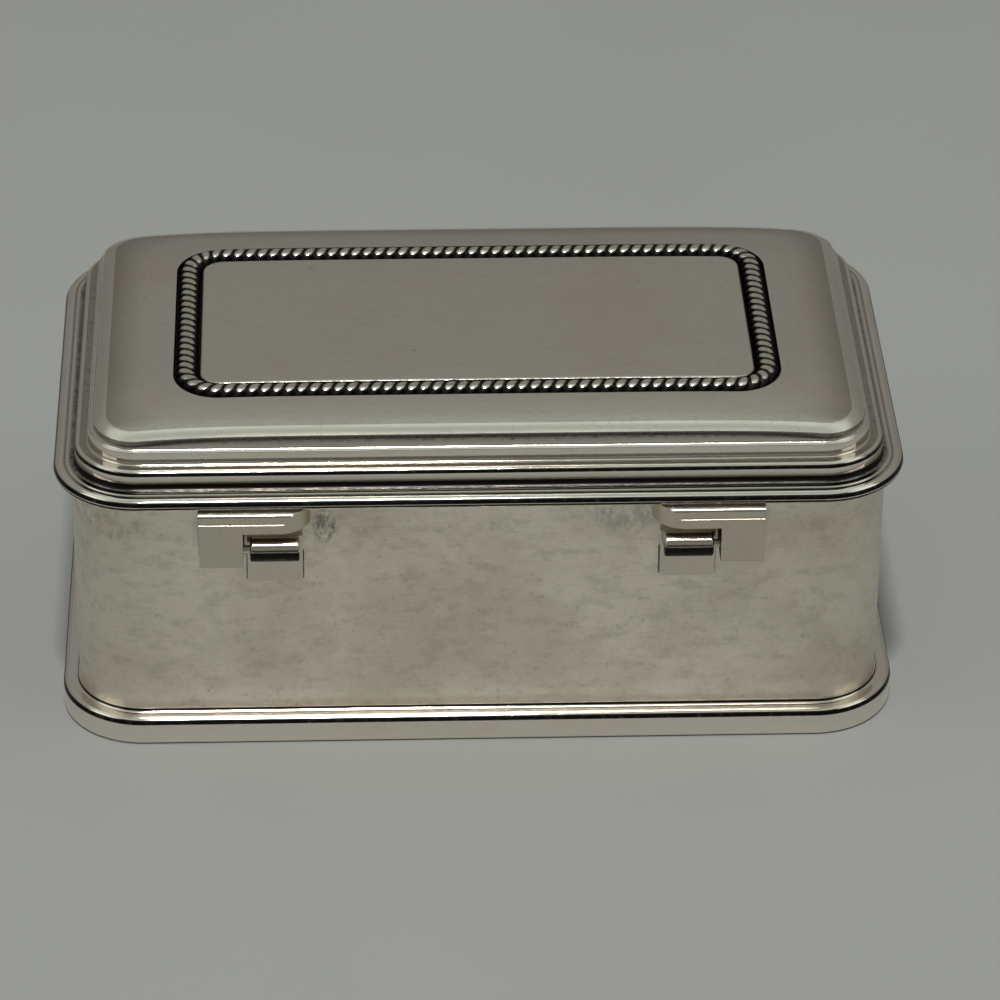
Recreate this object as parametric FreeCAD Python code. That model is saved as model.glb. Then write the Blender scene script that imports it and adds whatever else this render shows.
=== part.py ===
"""Trinket box of plated metal: a plain walled body on a base moulding, and a lid with a roped border
on two stop hinges at the back. Millimetres. +Z is up, the back with the hinges faces +Y, and the
origin is on the table under the middle of the whole box, hinges included."""
import FreeCAD, Part
import math
import os

V = FreeCAD.Vector
UP = V(0, 0, 1)

# Driving dimensions of the whole box
box_length = 110.0          # along X, over the lid's rim and over the base
box_depth = 65.0            # along Y, over the lid's rim and over the base
corner_radius = 11.0        # in plan, of the rim's and the base's outer line
seam_height = 35.65         # table to the underside of the closed lid
seam_gap = 0.05             # between the closed lid and the body's top edge

# Body: an upright band of sheet on a bottom plate, inside a base moulding
wall_inset = 2.25           # from the outer line in to the wall's outer face
wall_thickness = 1.2
bottom_lift = 0.6           # the bottom plate clears the table
bottom_thickness = 0.9
base_height = 3.85          # of the base moulding's flat top
base_shoulder = 0.8         # radius of its upper edge
base_foot = 0.5             # radius of its lower edge
base_step_height = 0.45     # the small step that meets the wall
base_step_width = 0.65

# Bezel: a rebated band inside the wall, which stands up into the lid and keeps it in place
bezel_drop = 4.5            # below the seam
bezel_rise = 1.3            # above the seam
bezel_thickness = 0.9
bezel_gap = 0.25            # between the lid's skirt and the bezel

# Lid rim: a half-round bead, a ledge and a hollow that holds the dark patina
rim_bead_radius = 0.95
rim_groove_inset = 1.45     # fine line between the bead and the ledge
rim_groove_depth = 0.15
rim_ledge_inset = 1.7
rim_hollow_radius = 0.73

# Lid frame: a skirt behind the rim, a second bead, and a cove that runs up to the raised cover
skirt_inset = 2.9
skirt_thickness = 0.6
step_overhang = 0.15        # the second bead stands out from the skirt
step_face_height = 1.15     # its upright face
step_radius = 0.65          # its rounded top edge
cove_radius = 1.2

# Lid cover: a sheet that is crowned both ways
cover_height = 9.8          # seam to the middle of the cover
cover_thickness = 0.9
cover_edge_radius = 1.9
crown_drop_length = 1.4     # fall from the middle to the short edges
crown_drop_depth = 1.7      # fall from the middle to the long edges
crown_power = 6             # even, so the fall is gathered near the edges

# Channel pressed into the cover, and the roped border that lies in it
channel_length = 78.8       # over the channel's outer edges
channel_depth_y = 38.9
channel_corner_radius = 6.0
channel_width = 3.25
channel_sink = 1.4
channel_floor_thickness = 0.7
channel_edge_radius = 0.3
rope_diameter = 2.8
rope_proud = 0.45           # of the rope's crest above the middle of the cover

# Hinges, two alike and mirrored
hinge_outer_end = 36.2      # from the box's middle, along X
hinge_length = 14.3
hinge_knuckle_length = 5.6  # the lid's square knuckle
pin_drop = 5.55             # seam down to the pin's axis
pin_standoff = 2.05         # wall's outer face out to the pin's axis
pin_diameter = 1.1
pin_running_clearance = 0.05
pin_end_recess = 0.2
knuckle_back_radius = 1.85
knuckle_front = 1.75        # pin's axis out to the square knuckle's flat face
knuckle_bottom = 1.85       # pin's axis down to the square knuckle's foot
knuckle_bevel = 0.25
bracket_rise = 0.45         # the bracket's top above the seam
bracket_step = 0.25         # its upper face stands back from its lower face
bracket_step_drop = 0.9     # seam down to that step
bracket_drop = 2.25         # seam down to the bracket's underside
bracket_edge_radius = 0.5
bracket_sweep_radius = 4.1  # in plan, where the bracket's inner end runs back to the rim
leaf_gap = 0.5              # the square knuckle to the body's plate
leaf_length = 7.1           # of the body's plate
leaf_plate_thickness = 0.9
leaf_plate_drop = 5.65      # pin's axis down to the plate's lower edge
leaf_plate_rise = 1.2
leaf_plate_corner = 0.5
barrel_radius = 1.65        # the body's round knuckle
barrel_set_in = 0.4         # it is shorter than the plate at each end
barrel_end_radius = 0.3

# Lining
lining_gap = 0.05           # around every lined board and pad
lining_wall_thickness = 1.1
floor_pad_thickness = 2.05
lid_pad_thickness = 2.2

# Worked out from the values above
half_length = box_length / 2
half_depth = box_depth / 2
bottom_top = bottom_lift + bottom_thickness
wall_inner_inset = wall_inset + wall_thickness
rim_top = seam_height + 2 * rim_bead_radius
rim_ledge_height = rim_top - rim_groove_depth / 5
rim_hollow_top = rim_ledge_height + rim_hollow_radius
skirt_inner_inset = skirt_inset + skirt_thickness
wall_top = seam_height - seam_gap
step_inset = skirt_inset - step_overhang
step_face_low = rim_hollow_top + step_overhang
step_face_top = step_face_low + step_face_height
step_top = step_face_top + step_radius
cover_inset = step_inset + step_radius + cove_radius
cover_inner_inset = cover_inset + cover_thickness
cover_foot = step_top + cove_radius
cover_top = seam_height + cover_height
cover_half_length = half_length - cover_inset
cover_half_depth = half_depth - cover_inset
channel_floor = cover_top - channel_sink
rope_radius = rope_diameter / 2
rope_axis_height = cover_top + rope_proud - rope_radius
pin_y = half_depth - wall_inset + pin_standoff
pin_z = seam_height - pin_drop
pin_radius = pin_diameter / 2
hinge_inner_end = hinge_outer_end - hinge_length
knuckle_inner_end = hinge_outer_end - hinge_knuckle_length
leaf_outer_end = knuckle_inner_end - leaf_gap
leaf_inner_end = leaf_outer_end - leaf_length
barrel_outer_end = leaf_outer_end - barrel_set_in
barrel_inner_end = leaf_inner_end + barrel_set_in
lining_inset = wall_inner_inset + lining_gap
lining_inner_inset = lining_inset + lining_wall_thickness
lining_corner_turn = 45 - math.degrees(lining_gap / (corner_radius - lining_inset))
hinge_reach = pin_y + knuckle_front - half_depth
frame_shift = -hinge_reach / 2
overshoot = 5.0             # how far a cutting solid runs past what it cuts


def section(start, steps, place):
    """Face bounded by a closed outline. A step is a point, or a pair of points: an arc through the
    first to the second. place turns an outline point into a vector."""
    edges = []
    here = place(*start)
    for step in steps:
        if isinstance(step[0], tuple):
            middle = place(*step[0])
            end = place(*step[1])
            edges.append(Part.Arc(here, middle, end).toShape())
        else:
            end = place(*step)
            edges.append(Part.LineSegment(here, end).toShape())
        here = end
    first = place(*start)
    if here.distanceToPoint(first) > 1e-6:
        edges.append(Part.LineSegment(here, first).toShape())
    return Part.Face(Part.Wire(edges))


def arc_middle(centre, radius, degrees):
    """A point on a circle, for the middle of an arc."""
    angle = math.radians(degrees)
    return (centre[0] + radius * math.cos(angle), centre[1] + radius * math.sin(angle))


def plan_outline(half_x, half_y, radius, z):
    """Rounded rectangle about the Z axis, as a wire at height z."""
    left, right, front, back = -half_x, half_x, -half_y, half_y
    diagonal = radius * (1 - math.sqrt(0.5))
    corners = ((right, front, -1, 1), (right, back, -1, -1), (left, back, 1, -1), (left, front, 1, 1))
    edges = []
    here = V(left + radius, front, z)
    for index, (x, y, inward_x, inward_y) in enumerate(corners):
        along_x = V(x + inward_x * radius, y, z)
        along_y = V(x, y + inward_y * radius, z)
        arrive, leave = (along_x, along_y) if index % 2 == 0 else (along_y, along_x)
        middle = V(x + inward_x * diagonal, y + inward_y * diagonal, z)
        edges.append(Part.LineSegment(here, arrive).toShape())
        edges.append(Part.Arc(arrive, middle, leave).toShape())
        here = leave
    return Part.Wire(edges)


def plan_prism(half_x, half_y, radius, low, high):
    """Upright block with a rounded rectangle for its plan."""
    face = Part.Face(plan_outline(half_x, half_y, radius, low))
    return face.extrude(V(0, 0, high - low))


def inset_prism(inset, low, high):
    """Upright block whose sides lie the given inset inside the box's outer line."""
    return plan_prism(half_length - inset, half_depth - inset, corner_radius - inset, low, high)


def ring_side(start, steps, run, out, radius, turn, corner_turn=45):
    """One side of a moulding and half of each corner beside it. The outline is given as inset from
    the outer line and height. run and out are the half sizes along and across the side, and
    corner_turn is how far round each corner the side goes, in degrees."""
    straight_end = run - radius
    face = section(start, steps, lambda inset, z: V(-straight_end, inset - out, z))
    straight = face.extrude(V(2 * straight_end, 0, 0))
    near_axis = V(-straight_end, radius - out, 0)
    far_axis = V(straight_end, radius - out, 0)
    near_end = face.revolve(near_axis, UP, -corner_turn)
    moved = face.copy()
    moved.translate(V(2 * straight_end, 0, 0))
    far_end = moved.revolve(far_axis, UP, corner_turn)
    side = straight.fuse([near_end, far_end]).removeSplitter()
    side.rotate(V(0, 0, 0), UP, turn)
    return side


def ring(start, steps, half_x=half_length, half_y=half_depth, radius=corner_radius):
    """A moulding carried right round a rounded rectangle."""
    sides = []
    for turn in (0, 90, 180, 270):
        run, out = (half_x, half_y) if turn % 180 == 0 else (half_y, half_x)
        sides.append(ring_side(start, steps, run, out, radius, turn))
    return sides[0].fuse(sides[1:]).removeSplitter()


def crown_block(lowering):
    """Solid under the cover's crowned surface, lowered by the given amount. The surface falls from
    its middle by drop * (distance / half size) ** power, added for both directions. On a patch that
    runs from -1 to 1, the control heights of distance ** power are +1 and -1 in turn."""
    reach_x = cover_half_length + overshoot
    reach_y = cover_half_depth + overshoot
    fall_x = crown_drop_length * (reach_x / cover_half_length) ** crown_power
    fall_y = crown_drop_depth * (reach_y / cover_half_depth) ** crown_power
    surface = Part.BezierSurface()
    surface.increase(crown_power, crown_power)
    for i in range(crown_power + 1):
        for j in range(crown_power + 1):
            x = reach_x * (2 * i / crown_power - 1)
            y = reach_y * (2 * j / crown_power - 1)
            z = cover_top - lowering - fall_x * (-1) ** i - fall_y * (-1) ** j
            surface.setPole(i + 1, j + 1, V(x, y, z))
    depth = cover_height + overshoot
    return surface.toShape().extrude(V(0, 0, -depth))


def channel_prism(offset, low, high):
    """Block inside a line that runs the given offset inward from the channel's outer edge."""
    half_x = channel_length / 2 - offset
    half_y = channel_depth_y / 2 - offset
    return plan_prism(half_x, half_y, channel_corner_radius - offset, low, high)


def channel_ring(outer_offset, inner_offset, low, high):
    """Upright band between two lines parallel to the channel's outer edge."""
    return channel_prism(outer_offset, low, high).cut(channel_prism(inner_offset, low, high))


def make_body_wall():
    """Band of sheet bent to the box's plan, standing on the bottom plate."""
    start = (wall_inset, bottom_top)
    steps = [(wall_inset, wall_top), (wall_inner_inset, wall_top), (wall_inner_inset, bottom_top)]
    return ring(start, steps)


def make_bottom_plate():
    return inset_prism(wall_inset, bottom_lift, bottom_top)


def make_base_moulding():
    """Upright face with a rounded foot and shoulder, a flat top, and a small step up to the wall."""
    foot = (base_foot, base_foot)
    shoulder = (base_shoulder, base_height - base_shoulder)
    step_start = wall_inset - base_step_width
    step_centre = (step_start + base_step_height, base_height)
    step_top = base_height + base_step_height
    start = (wall_inset, 0.0)
    steps = [
        (base_foot, 0.0),
        (arc_middle(foot, base_foot, 225), (0.0, base_foot)),
        (0.0, base_height - base_shoulder),
        (arc_middle(shoulder, base_shoulder, 135), (base_shoulder, base_height)),
        (step_start, base_height),
        (arc_middle(step_centre, base_step_height, 135), (step_start + base_step_height, step_top)),
        (wall_inset, step_top),
    ]
    return ring(start, steps)


def make_bezel():
    """Band soldered inside the wall. Its upper part is thinner, so that the lid's skirt passes it."""
    upper_inset = skirt_inner_inset + bezel_gap
    inner_inset = wall_inner_inset + bezel_thickness
    low = seam_height - bezel_drop
    high = seam_height + bezel_rise
    start = (wall_inner_inset, low)
    steps = [
        (inner_inset, low),
        (inner_inset, high),
        (upper_inset, high),
        (upper_inset, wall_top),
        (wall_inner_inset, wall_top),
    ]
    return ring(start, steps)


def make_lid_rim():
    """Half-round bead with a fine line behind it, a ledge, and a hollow that runs up to the skirt."""
    bead = (rim_bead_radius, seam_height + rim_bead_radius)
    hollow = (skirt_inset - rim_hollow_radius, rim_hollow_top)
    start = (skirt_inset, seam_height)
    steps = [
        (rim_bead_radius, seam_height),
        (arc_middle(bead, rim_bead_radius, 180), (rim_bead_radius, rim_top)),
        (rim_groove_inset, rim_top - rim_groove_depth),
        (rim_ledge_inset, rim_ledge_height),
        (skirt_inset - rim_hollow_radius, rim_ledge_height),
        (arc_middle(hollow, rim_hollow_radius, 315), (skirt_inset, rim_hollow_top)),
    ]
    return ring(start, steps)


def make_lid_frame():
    """Skirt inside the rim, with the second bead above it and the cove up to the cover's foot."""
    bead = (step_inset + step_radius, step_face_top)
    cove = (step_inset + step_radius, cover_foot)
    web = rim_hollow_top + skirt_thickness
    start = (skirt_inset, seam_height)
    steps = [
        (skirt_inset, rim_hollow_top),
        (step_inset, step_face_low),
        (step_inset, step_face_top),
        (arc_middle(bead, step_radius, 135), (step_inset + step_radius, step_top)),
        (arc_middle(cove, cove_radius, 315), (cover_inset, cover_foot)),
        (cover_inner_inset, cover_foot),
        (cover_inner_inset, web),
        (skirt_inner_inset, web),
        (skirt_inner_inset, seam_height),
    ]
    return ring(start, steps)


def make_lid_cover():
    """Crowned sheet with upright sides and a rounded edge, and a channel pressed down into it."""
    high = cover_top + overshoot
    outer = inset_prism(cover_inset, cover_foot, high).common(crown_block(0.0))
    above_foot = cover_foot + cover_edge_radius / 2
    rim_edges = [edge for edge in outer.Edges if edge.BoundBox.ZMin > above_foot]
    outer = outer.makeFillet(cover_edge_radius, rim_edges)
    inner = inset_prism(cover_inner_inset, cover_foot - overshoot, high).common(crown_block(cover_thickness))
    press_low = channel_floor - channel_floor_thickness
    press_top = cover_top - cover_thickness / 2
    press = channel_ring(-cover_thickness, channel_width + cover_thickness, press_low, press_top)
    inner = inner.cut(press)
    cover = outer.cut(inner)
    cover = cover.cut(channel_ring(0.0, channel_width, channel_floor, high))
    mouth = [edge for edge in cover.Edges if is_channel_mouth(edge)]
    return cover.makeFillet(channel_edge_radius, mouth)


def is_channel_mouth(edge):
    """True for the edges where the channel's walls meet the crowned surface."""
    box = edge.BoundBox
    reach_x = channel_length / 2 + channel_edge_radius
    inside = box.XMax < reach_x and box.XMin > -reach_x
    above_floor = box.ZMin > channel_floor + channel_sink / 3
    return inside and above_floor


def make_rope_border():
    """The roped border's body: round in section, cut flat where it lies on the channel's floor."""
    centre_offset = channel_width / 2
    half_x = channel_length / 2 - centre_offset
    half_y = channel_depth_y / 2 - centre_offset
    radius = channel_corner_radius - centre_offset
    sink = rope_axis_height - channel_floor
    half_flat = math.sqrt(rope_radius ** 2 - sink ** 2)
    start = (-half_flat, channel_floor)
    steps = [((0.0, rope_axis_height + rope_radius), (half_flat, channel_floor))]
    return ring(start, steps, half_x, half_y, radius)


def across(x):
    """Placing of a hinge outline: distance out from the pin's axis and height above it."""
    return lambda out, up: V(x, pin_y + out, pin_z + up)


def hinge_block(start, steps, low_x, high_x):
    """A hinge outline carried along X."""
    return section(start, steps, across(low_x)).extrude(V(high_x - low_x, 0, 0))


def pin_bore(radius, low_x, high_x):
    return Part.makeCylinder(radius, high_x - low_x, V(low_x, pin_y, pin_z), V(1, 0, 0))


def make_lid_hinge_leaf(rim):
    """Bracket under and outside the lid's rim, with a square knuckle at its outer end. The knuckle's
    foot meets the wall and stops the lid. Its back is round, so that it turns clear of the wall."""
    seam = pin_drop
    face = knuckle_front
    upper_face = face - bracket_step
    rise = seam + bracket_rise
    step = seam - bracket_step_drop
    foot = seam - bracket_drop
    edge = bracket_edge_radius
    small = bracket_step / 2
    back = knuckle_back_radius
    behind_rim = pin_standoff - wall_inset + rim_bead_radius
    start = (-back, foot)
    steps = [
        (face, foot),
        (face, step - small),
        (arc_middle((face - small, step - small), small, 45), (face - small, step)),
        (upper_face, step),
        (upper_face, rise - edge),
        (arc_middle((upper_face - edge, rise - edge), edge, 45), (upper_face - edge, rise)),
        (-behind_rim, rise),
        (-behind_rim, seam),
        (-back, seam),
    ]
    bracket = hinge_block(start, steps, hinge_inner_end, hinge_outer_end)
    bracket = bracket.common(bracket_plan())
    knuckle_start = (-back, foot)
    knuckle_steps = [
        (-back, 0.0),
        (arc_middle((0.0, 0.0), back, 225), (0.0, -back)),
        (0.0, -knuckle_bottom),
        (face - knuckle_bevel, -knuckle_bottom),
        (face, knuckle_bevel - knuckle_bottom),
        (face, foot),
    ]
    if abs(knuckle_bottom - back) < 1e-6:
        knuckle_steps.remove((0.0, -knuckle_bottom))
    knuckle = hinge_block(knuckle_start, knuckle_steps, knuckle_inner_end, hinge_outer_end)
    leaf = bracket.fuse(knuckle).removeSplitter()
    bore = pin_bore(pin_radius + pin_running_clearance, knuckle_inner_end - overshoot,
                    hinge_outer_end + overshoot)
    return leaf.cut(bore).cut(rim)


def bracket_plan():
    """Plan of the bracket: square at its outer end, and swept back to the rim at its inner end."""
    low = pin_z - overshoot
    front = knuckle_front
    back = -knuckle_back_radius
    sweep_start = hinge_inner_end + bracket_sweep_radius
    centre = (sweep_start, front - bracket_sweep_radius)
    start = (hinge_outer_end, back)
    steps = [
        (hinge_outer_end, front),
        (sweep_start, front),
        (arc_middle(centre, bracket_sweep_radius, 135), (hinge_inner_end, front - bracket_sweep_radius)),
    ]
    if front - bracket_sweep_radius > back:
        steps.append((hinge_inner_end, back))
    face = section(start, steps, lambda x, out: V(x, pin_y + out, low))
    return face.extrude(V(0, 0, pin_drop + bracket_rise + 2 * overshoot))


def make_body_hinge_leaf():
    """Plate soldered to the wall, rolled at its top into a round knuckle that holds the pin."""
    length = leaf_outer_end - leaf_inner_end
    plate_low = pin_z - leaf_plate_drop
    plate_height = leaf_plate_drop + leaf_plate_rise
    wall_y = half_depth - wall_inset
    plate = Part.makeBox(length, leaf_plate_thickness, plate_height, V(leaf_inner_end, wall_y, plate_low))
    low_corners = [edge for edge in plate.Edges
                   if edge.BoundBox.YLength > leaf_plate_thickness / 2 and edge.BoundBox.ZMax < pin_z]
    plate = plate.makeFillet(leaf_plate_corner, low_corners)
    barrel = pin_bore(barrel_radius, barrel_inner_end, barrel_outer_end)
    ends = [edge for edge in barrel.Edges if edge.BoundBox.XLength < barrel_end_radius]
    barrel = barrel.makeFillet(barrel_end_radius, ends)
    leaf = plate.fuse(barrel).removeSplitter()
    return leaf.cut(pin_bore(pin_radius, barrel_inner_end - overshoot, barrel_outer_end + overshoot))


def make_hinge_pin():
    low = barrel_inner_end + pin_end_recess
    high = hinge_outer_end - pin_end_recess
    pin = pin_bore(pin_radius, low, high)
    ends = [edge for edge in pin.Edges if edge.BoundBox.XLength < pin_radius]
    return pin.makeChamfer(pin_end_recess / 2, ends)


def make_lining_side(turn):
    """Covered board against one wall, under the bezel, with half of each corner beside it."""
    high = seam_height - bezel_drop - lining_gap
    low = bottom_top + lining_gap
    start = (lining_inset, low)
    steps = [(lining_inset, high), (lining_inner_inset, high), (lining_inner_inset, low)]
    run, out = (half_length, half_depth) if turn % 180 == 0 else (half_depth, half_length)
    return ring_side(start, steps, run, out, corner_radius, turn, lining_corner_turn)


def make_floor_pad():
    low = bottom_top + lining_gap
    return inset_prism(lining_inner_inset + lining_gap, low, low + floor_pad_thickness)


def make_lid_pad():
    """Board under the cover. The edges of its back fall with the crown."""
    high = channel_floor - channel_floor_thickness - lining_gap
    pad = inset_prism(cover_inner_inset + lining_gap, high - lid_pad_thickness, high)
    return pad.common(crown_block(cover_thickness + lining_gap))


def mirrored(shape):
    """The same piece at the other end of the box."""
    return shape.mirror(V(0, 0, 0), V(1, 0, 0))


def build():
    """Every piece of the box by the name of its node."""
    rim = make_lid_rim()
    lid_leaf = make_lid_hinge_leaf(rim)
    body_leaf = make_body_hinge_leaf()
    pin = make_hinge_pin()
    pieces = {
        "body_wall": make_body_wall(),
        "bottom_plate": make_bottom_plate(),
        "base_moulding": make_base_moulding(),
        "bezel": make_bezel(),
        "lid_rim": rim,
        "lid_frame": make_lid_frame(),
        "lid_cover": make_lid_cover(),
        "rope_border": make_rope_border(),
        "hinge_lid_leaf_right": lid_leaf,
        "hinge_lid_leaf_left": mirrored(lid_leaf),
        "hinge_body_leaf_right": body_leaf,
        "hinge_body_leaf_left": mirrored(body_leaf),
        "hinge_pin_right": pin,
        "hinge_pin_left": mirrored(pin),
        "floor_pad": make_floor_pad(),
        "lid_pad": make_lid_pad(),
    }
    for name, turn in (("front", 0), ("right", 90), ("back", 180), ("left", 270)):
        pieces["lining_" + name] = make_lining_side(turn)
    return pieces


def save(pieces):
    os.makedirs("parts", exist_ok=True)
    for name, shape in pieces.items():
        shape.translate(V(0, frame_shift, 0))
        solids = shape.Solids
        shape = solids[0] if len(solids) == 1 else shape
        shape.exportStep("parts/" + name + ".step")
        box = shape.optimalBoundingBox(True, False)
        print(f"{name:24s} solids {len(solids)} valid {shape.isValid()} volume {shape.Volume:9.2f}  "
              f"x {box.XMin:7.2f} {box.XMax:7.2f}  y {box.YMin:7.2f} {box.YMax:7.2f}  "
              f"z {box.ZMin:6.2f} {box.ZMax:6.2f}")


save(build())
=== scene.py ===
# %% [markdown]
# # A silver-plated trinket box
# The box is a band of sheet metal on a moulded foot. Its lid is built in steps: a beaded rim, a second
# bead, a cove, and a crowned cover with a roped wire border lying in a channel. The solids come from
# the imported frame, in metres and at their real size. This script dresses them: it works out the curved
# metal as smooth surfaces, twists the rope, pads the lining and finishes every surface.

# %% Load the frame
import math
import bpy
import numpy as np
from mathutils import Matrix, Vector


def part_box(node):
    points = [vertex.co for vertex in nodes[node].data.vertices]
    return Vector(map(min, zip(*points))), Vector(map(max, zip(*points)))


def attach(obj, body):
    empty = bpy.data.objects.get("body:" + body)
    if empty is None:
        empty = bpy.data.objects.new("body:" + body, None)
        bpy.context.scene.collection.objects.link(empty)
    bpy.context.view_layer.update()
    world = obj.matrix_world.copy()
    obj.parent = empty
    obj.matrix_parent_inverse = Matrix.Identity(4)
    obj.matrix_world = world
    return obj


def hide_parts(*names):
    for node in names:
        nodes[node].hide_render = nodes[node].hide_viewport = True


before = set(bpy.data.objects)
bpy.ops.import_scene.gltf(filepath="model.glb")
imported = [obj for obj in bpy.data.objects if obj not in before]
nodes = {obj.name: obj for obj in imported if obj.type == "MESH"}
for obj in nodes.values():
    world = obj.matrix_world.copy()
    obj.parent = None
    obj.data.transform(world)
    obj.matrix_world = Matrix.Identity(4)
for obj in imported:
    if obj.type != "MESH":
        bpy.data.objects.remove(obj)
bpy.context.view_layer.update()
MM = 0.001

# %% [markdown]
# ## The camera
# The photograph was taken from behind the box, from above, with a long lens. The place and the three
# turns were found by laying the box's outlines over the photograph. A camera looks along its own -Z
# axis, so its matrix has the picture's right, the picture's up and the way back as columns.

# %% The camera
CAMERA_PLACE_MM = (19.9, 553.245, 364.43)
CAMERA_YAW = math.radians(2.431)        # the view turns this much from straight along -Y
CAMERA_PITCH = math.radians(32.087)     # and looks down this much
CAMERA_ROLL = math.radians(0.548)
PICTURE_WIDTH_PX = 1000
FOCAL_PX = 4834.1                       # the lens, in widths of a picture point
SENSOR_MM = 36.0


def add_camera():
    """The camera's forward is level (-sin yaw, -cos yaw) tipped down by the pitch. Its right is level
    and square to that, and the roll turns right and up about forward."""
    level_share = math.cos(CAMERA_PITCH)
    forward = Vector((-math.sin(CAMERA_YAW) * level_share, -math.cos(CAMERA_YAW) * level_share,
                      -math.sin(CAMERA_PITCH)))
    right = Vector((-math.cos(CAMERA_YAW), math.sin(CAMERA_YAW), 0.0))
    up = right.cross(forward)
    rolled_right = right * math.cos(CAMERA_ROLL) + up * math.sin(CAMERA_ROLL)
    rolled_up = up * math.cos(CAMERA_ROLL) - right * math.sin(CAMERA_ROLL)
    turn = Matrix((rolled_right, rolled_up, -forward)).transposed()
    data = bpy.data.cameras.new("camera")
    data.sensor_width = SENSOR_MM
    data.lens = FOCAL_PX / PICTURE_WIDTH_PX * SENSOR_MM
    camera = bpy.data.objects.new("camera", data)
    camera.matrix_world = Matrix.Translation(Vector(CAMERA_PLACE_MM) * MM) @ turn.to_4x4()
    bpy.context.scene.collection.objects.link(camera)
    bpy.context.scene.camera = camera
    return camera


camera = add_camera()
bpy.context.scene.view_settings.view_transform = "Standard"
print("lens:", round(camera.data.lens, 1), "mm")

# %% [markdown]
# ## Helpers for materials
# A finish is a small graph of nodes. These helpers keep each graph short: one makes a material and
# hands back its shader, one adds a node and wires named inputs, and two make the patterns that every
# finish here needs, a noise and a soft threshold. All patterns read Object coordinates, so that their
# scale is real: a noise scale of 1000 gives grains about a millimetre apart.

# %% Material helpers


def new_material(name):
    """A material with its node tree and its Principled shader."""
    material = bpy.data.materials.new(name)
    material.use_nodes = True
    tree = material.node_tree
    return material, tree, tree.nodes["Principled BSDF"]


def add_node(tree, kind, **inputs):
    """A node of one kind. An input is a number, a colour or a socket to wire in. Words that aren't
    inputs set the node's own settings."""
    node = tree.nodes.new(kind)
    for name, value in inputs.items():
        label = name.replace("_", " ")
        if hasattr(node, name) and label not in node.inputs:
            setattr(node, name, value)
            continue
        if label.isdigit():
            label = int(label)
        if isinstance(value, bpy.types.NodeSocket):
            tree.links.new(value, node.inputs[label])
        else:
            node.inputs[label].default_value = value
    return node


def wire(tree, socket, shader, name):
    tree.links.new(socket, shader.inputs[name])


def object_place(tree, stretch=(1.0, 1.0, 1.0)):
    """Object coordinates, squeezed by a factor on each axis to draw a pattern out into streaks."""
    place = tree.nodes.new("ShaderNodeTexCoord").outputs["Object"]
    if stretch == (1.0, 1.0, 1.0):
        return place
    mapping = tree.nodes.new("ShaderNodeMapping")
    mapping.inputs["Scale"].default_value = stretch
    tree.links.new(place, mapping.inputs["Vector"])
    return mapping.outputs["Vector"]


def noise(tree, scale, detail=4.0, roughness=0.55, stretch=(1.0, 1.0, 1.0)):
    """Noise from 0 to 1 on Object coordinates."""
    node = add_node(tree, "ShaderNodeTexNoise", Scale=scale, Detail=detail, Roughness=roughness)
    tree.links.new(object_place(tree, stretch), node.inputs["Vector"])
    return node.outputs["Fac"]


def ramp(tree, value, low, high, start=0.0, end=1.0):
    """value taken from the range low..high to start..end, smoothly and held beyond both ends."""
    node = add_node(tree, "ShaderNodeMapRange", interpolation_type="SMOOTHSTEP")
    node.inputs["From Min"].default_value = low
    node.inputs["From Max"].default_value = high
    node.inputs["To Min"].default_value = start
    node.inputs["To Max"].default_value = end
    tree.links.new(value, node.inputs["Value"])
    return node.outputs["Result"]


def calculate(tree, operation, first, second):
    """One step of arithmetic on two values."""
    node = tree.nodes.new("ShaderNodeMath")
    node.operation = operation
    for index, value in enumerate((first, second)):
        if isinstance(value, bpy.types.NodeSocket):
            tree.links.new(value, node.inputs[index])
        else:
            node.inputs[index].default_value = value
    return node.outputs["Value"]


def mix_colour(tree, share, first, second):
    """first where share is 0, second where it is 1. A colour is three numbers or a socket."""
    node = tree.nodes.new("ShaderNodeMix")
    node.data_type = "RGBA"
    for index, value in ((0, share), (6, first), (7, second)):
        if isinstance(value, bpy.types.NodeSocket):
            tree.links.new(value, node.inputs[index])
        elif index == 0:
            node.inputs[index].default_value = value
        else:
            node.inputs[index].default_value = (*value, 1.0)
    return node.outputs[2]


def bump(tree, height, depth, strength=1.0, under=None):
    """Surface relief: depth is the height in metres that a step from 0 to 1 stands for."""
    node = add_node(tree, "ShaderNodeBump", Strength=strength, Distance=depth, Height=height)
    if under is not None:
        tree.links.new(under, node.inputs["Normal"])
    return node.outputs["Normal"]


# %% [markdown]
# ## Floor and light
# Polished metal shows its surroundings more than its own colour, so the light is planned as what the
# metal sees. The sky is grey at the horizon, palest half way up and a little greenish. On the camera's
# side it is dark low down, as of a room behind the photographer: the mouldings draw the pale and the dark
# parts out into their bright and dark lines. A short strip lamp high over the camera is the main light:
# it lights the floor in front of the box, also by way of its wall, and gives the streak on the left half
# of the near mouldings. Two wide soft lamps left and right fill in.

# %% Floor and world
FLOOR_COLOUR = (0.345, 0.347, 0.333)
FLOOR_HALF_M = 6.0
SKY_LOW = (0.195, 0.193, 0.182)     # at the horizon
SKY_MIDDLE = (0.255, 0.252, 0.235)  # 42 degrees up
SKY_BRIGHT = (0.62, 0.70, 0.65)     # 52 degrees up
SKY_TOP = (0.35, 0.39, 0.355)       # overhead
SKY_DIM = (0.08, 0.08, 0.08)        # on the camera's side, half way up
SKY_DARK = (0.02, 0.02, 0.02)       # on the camera's side, low down


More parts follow.
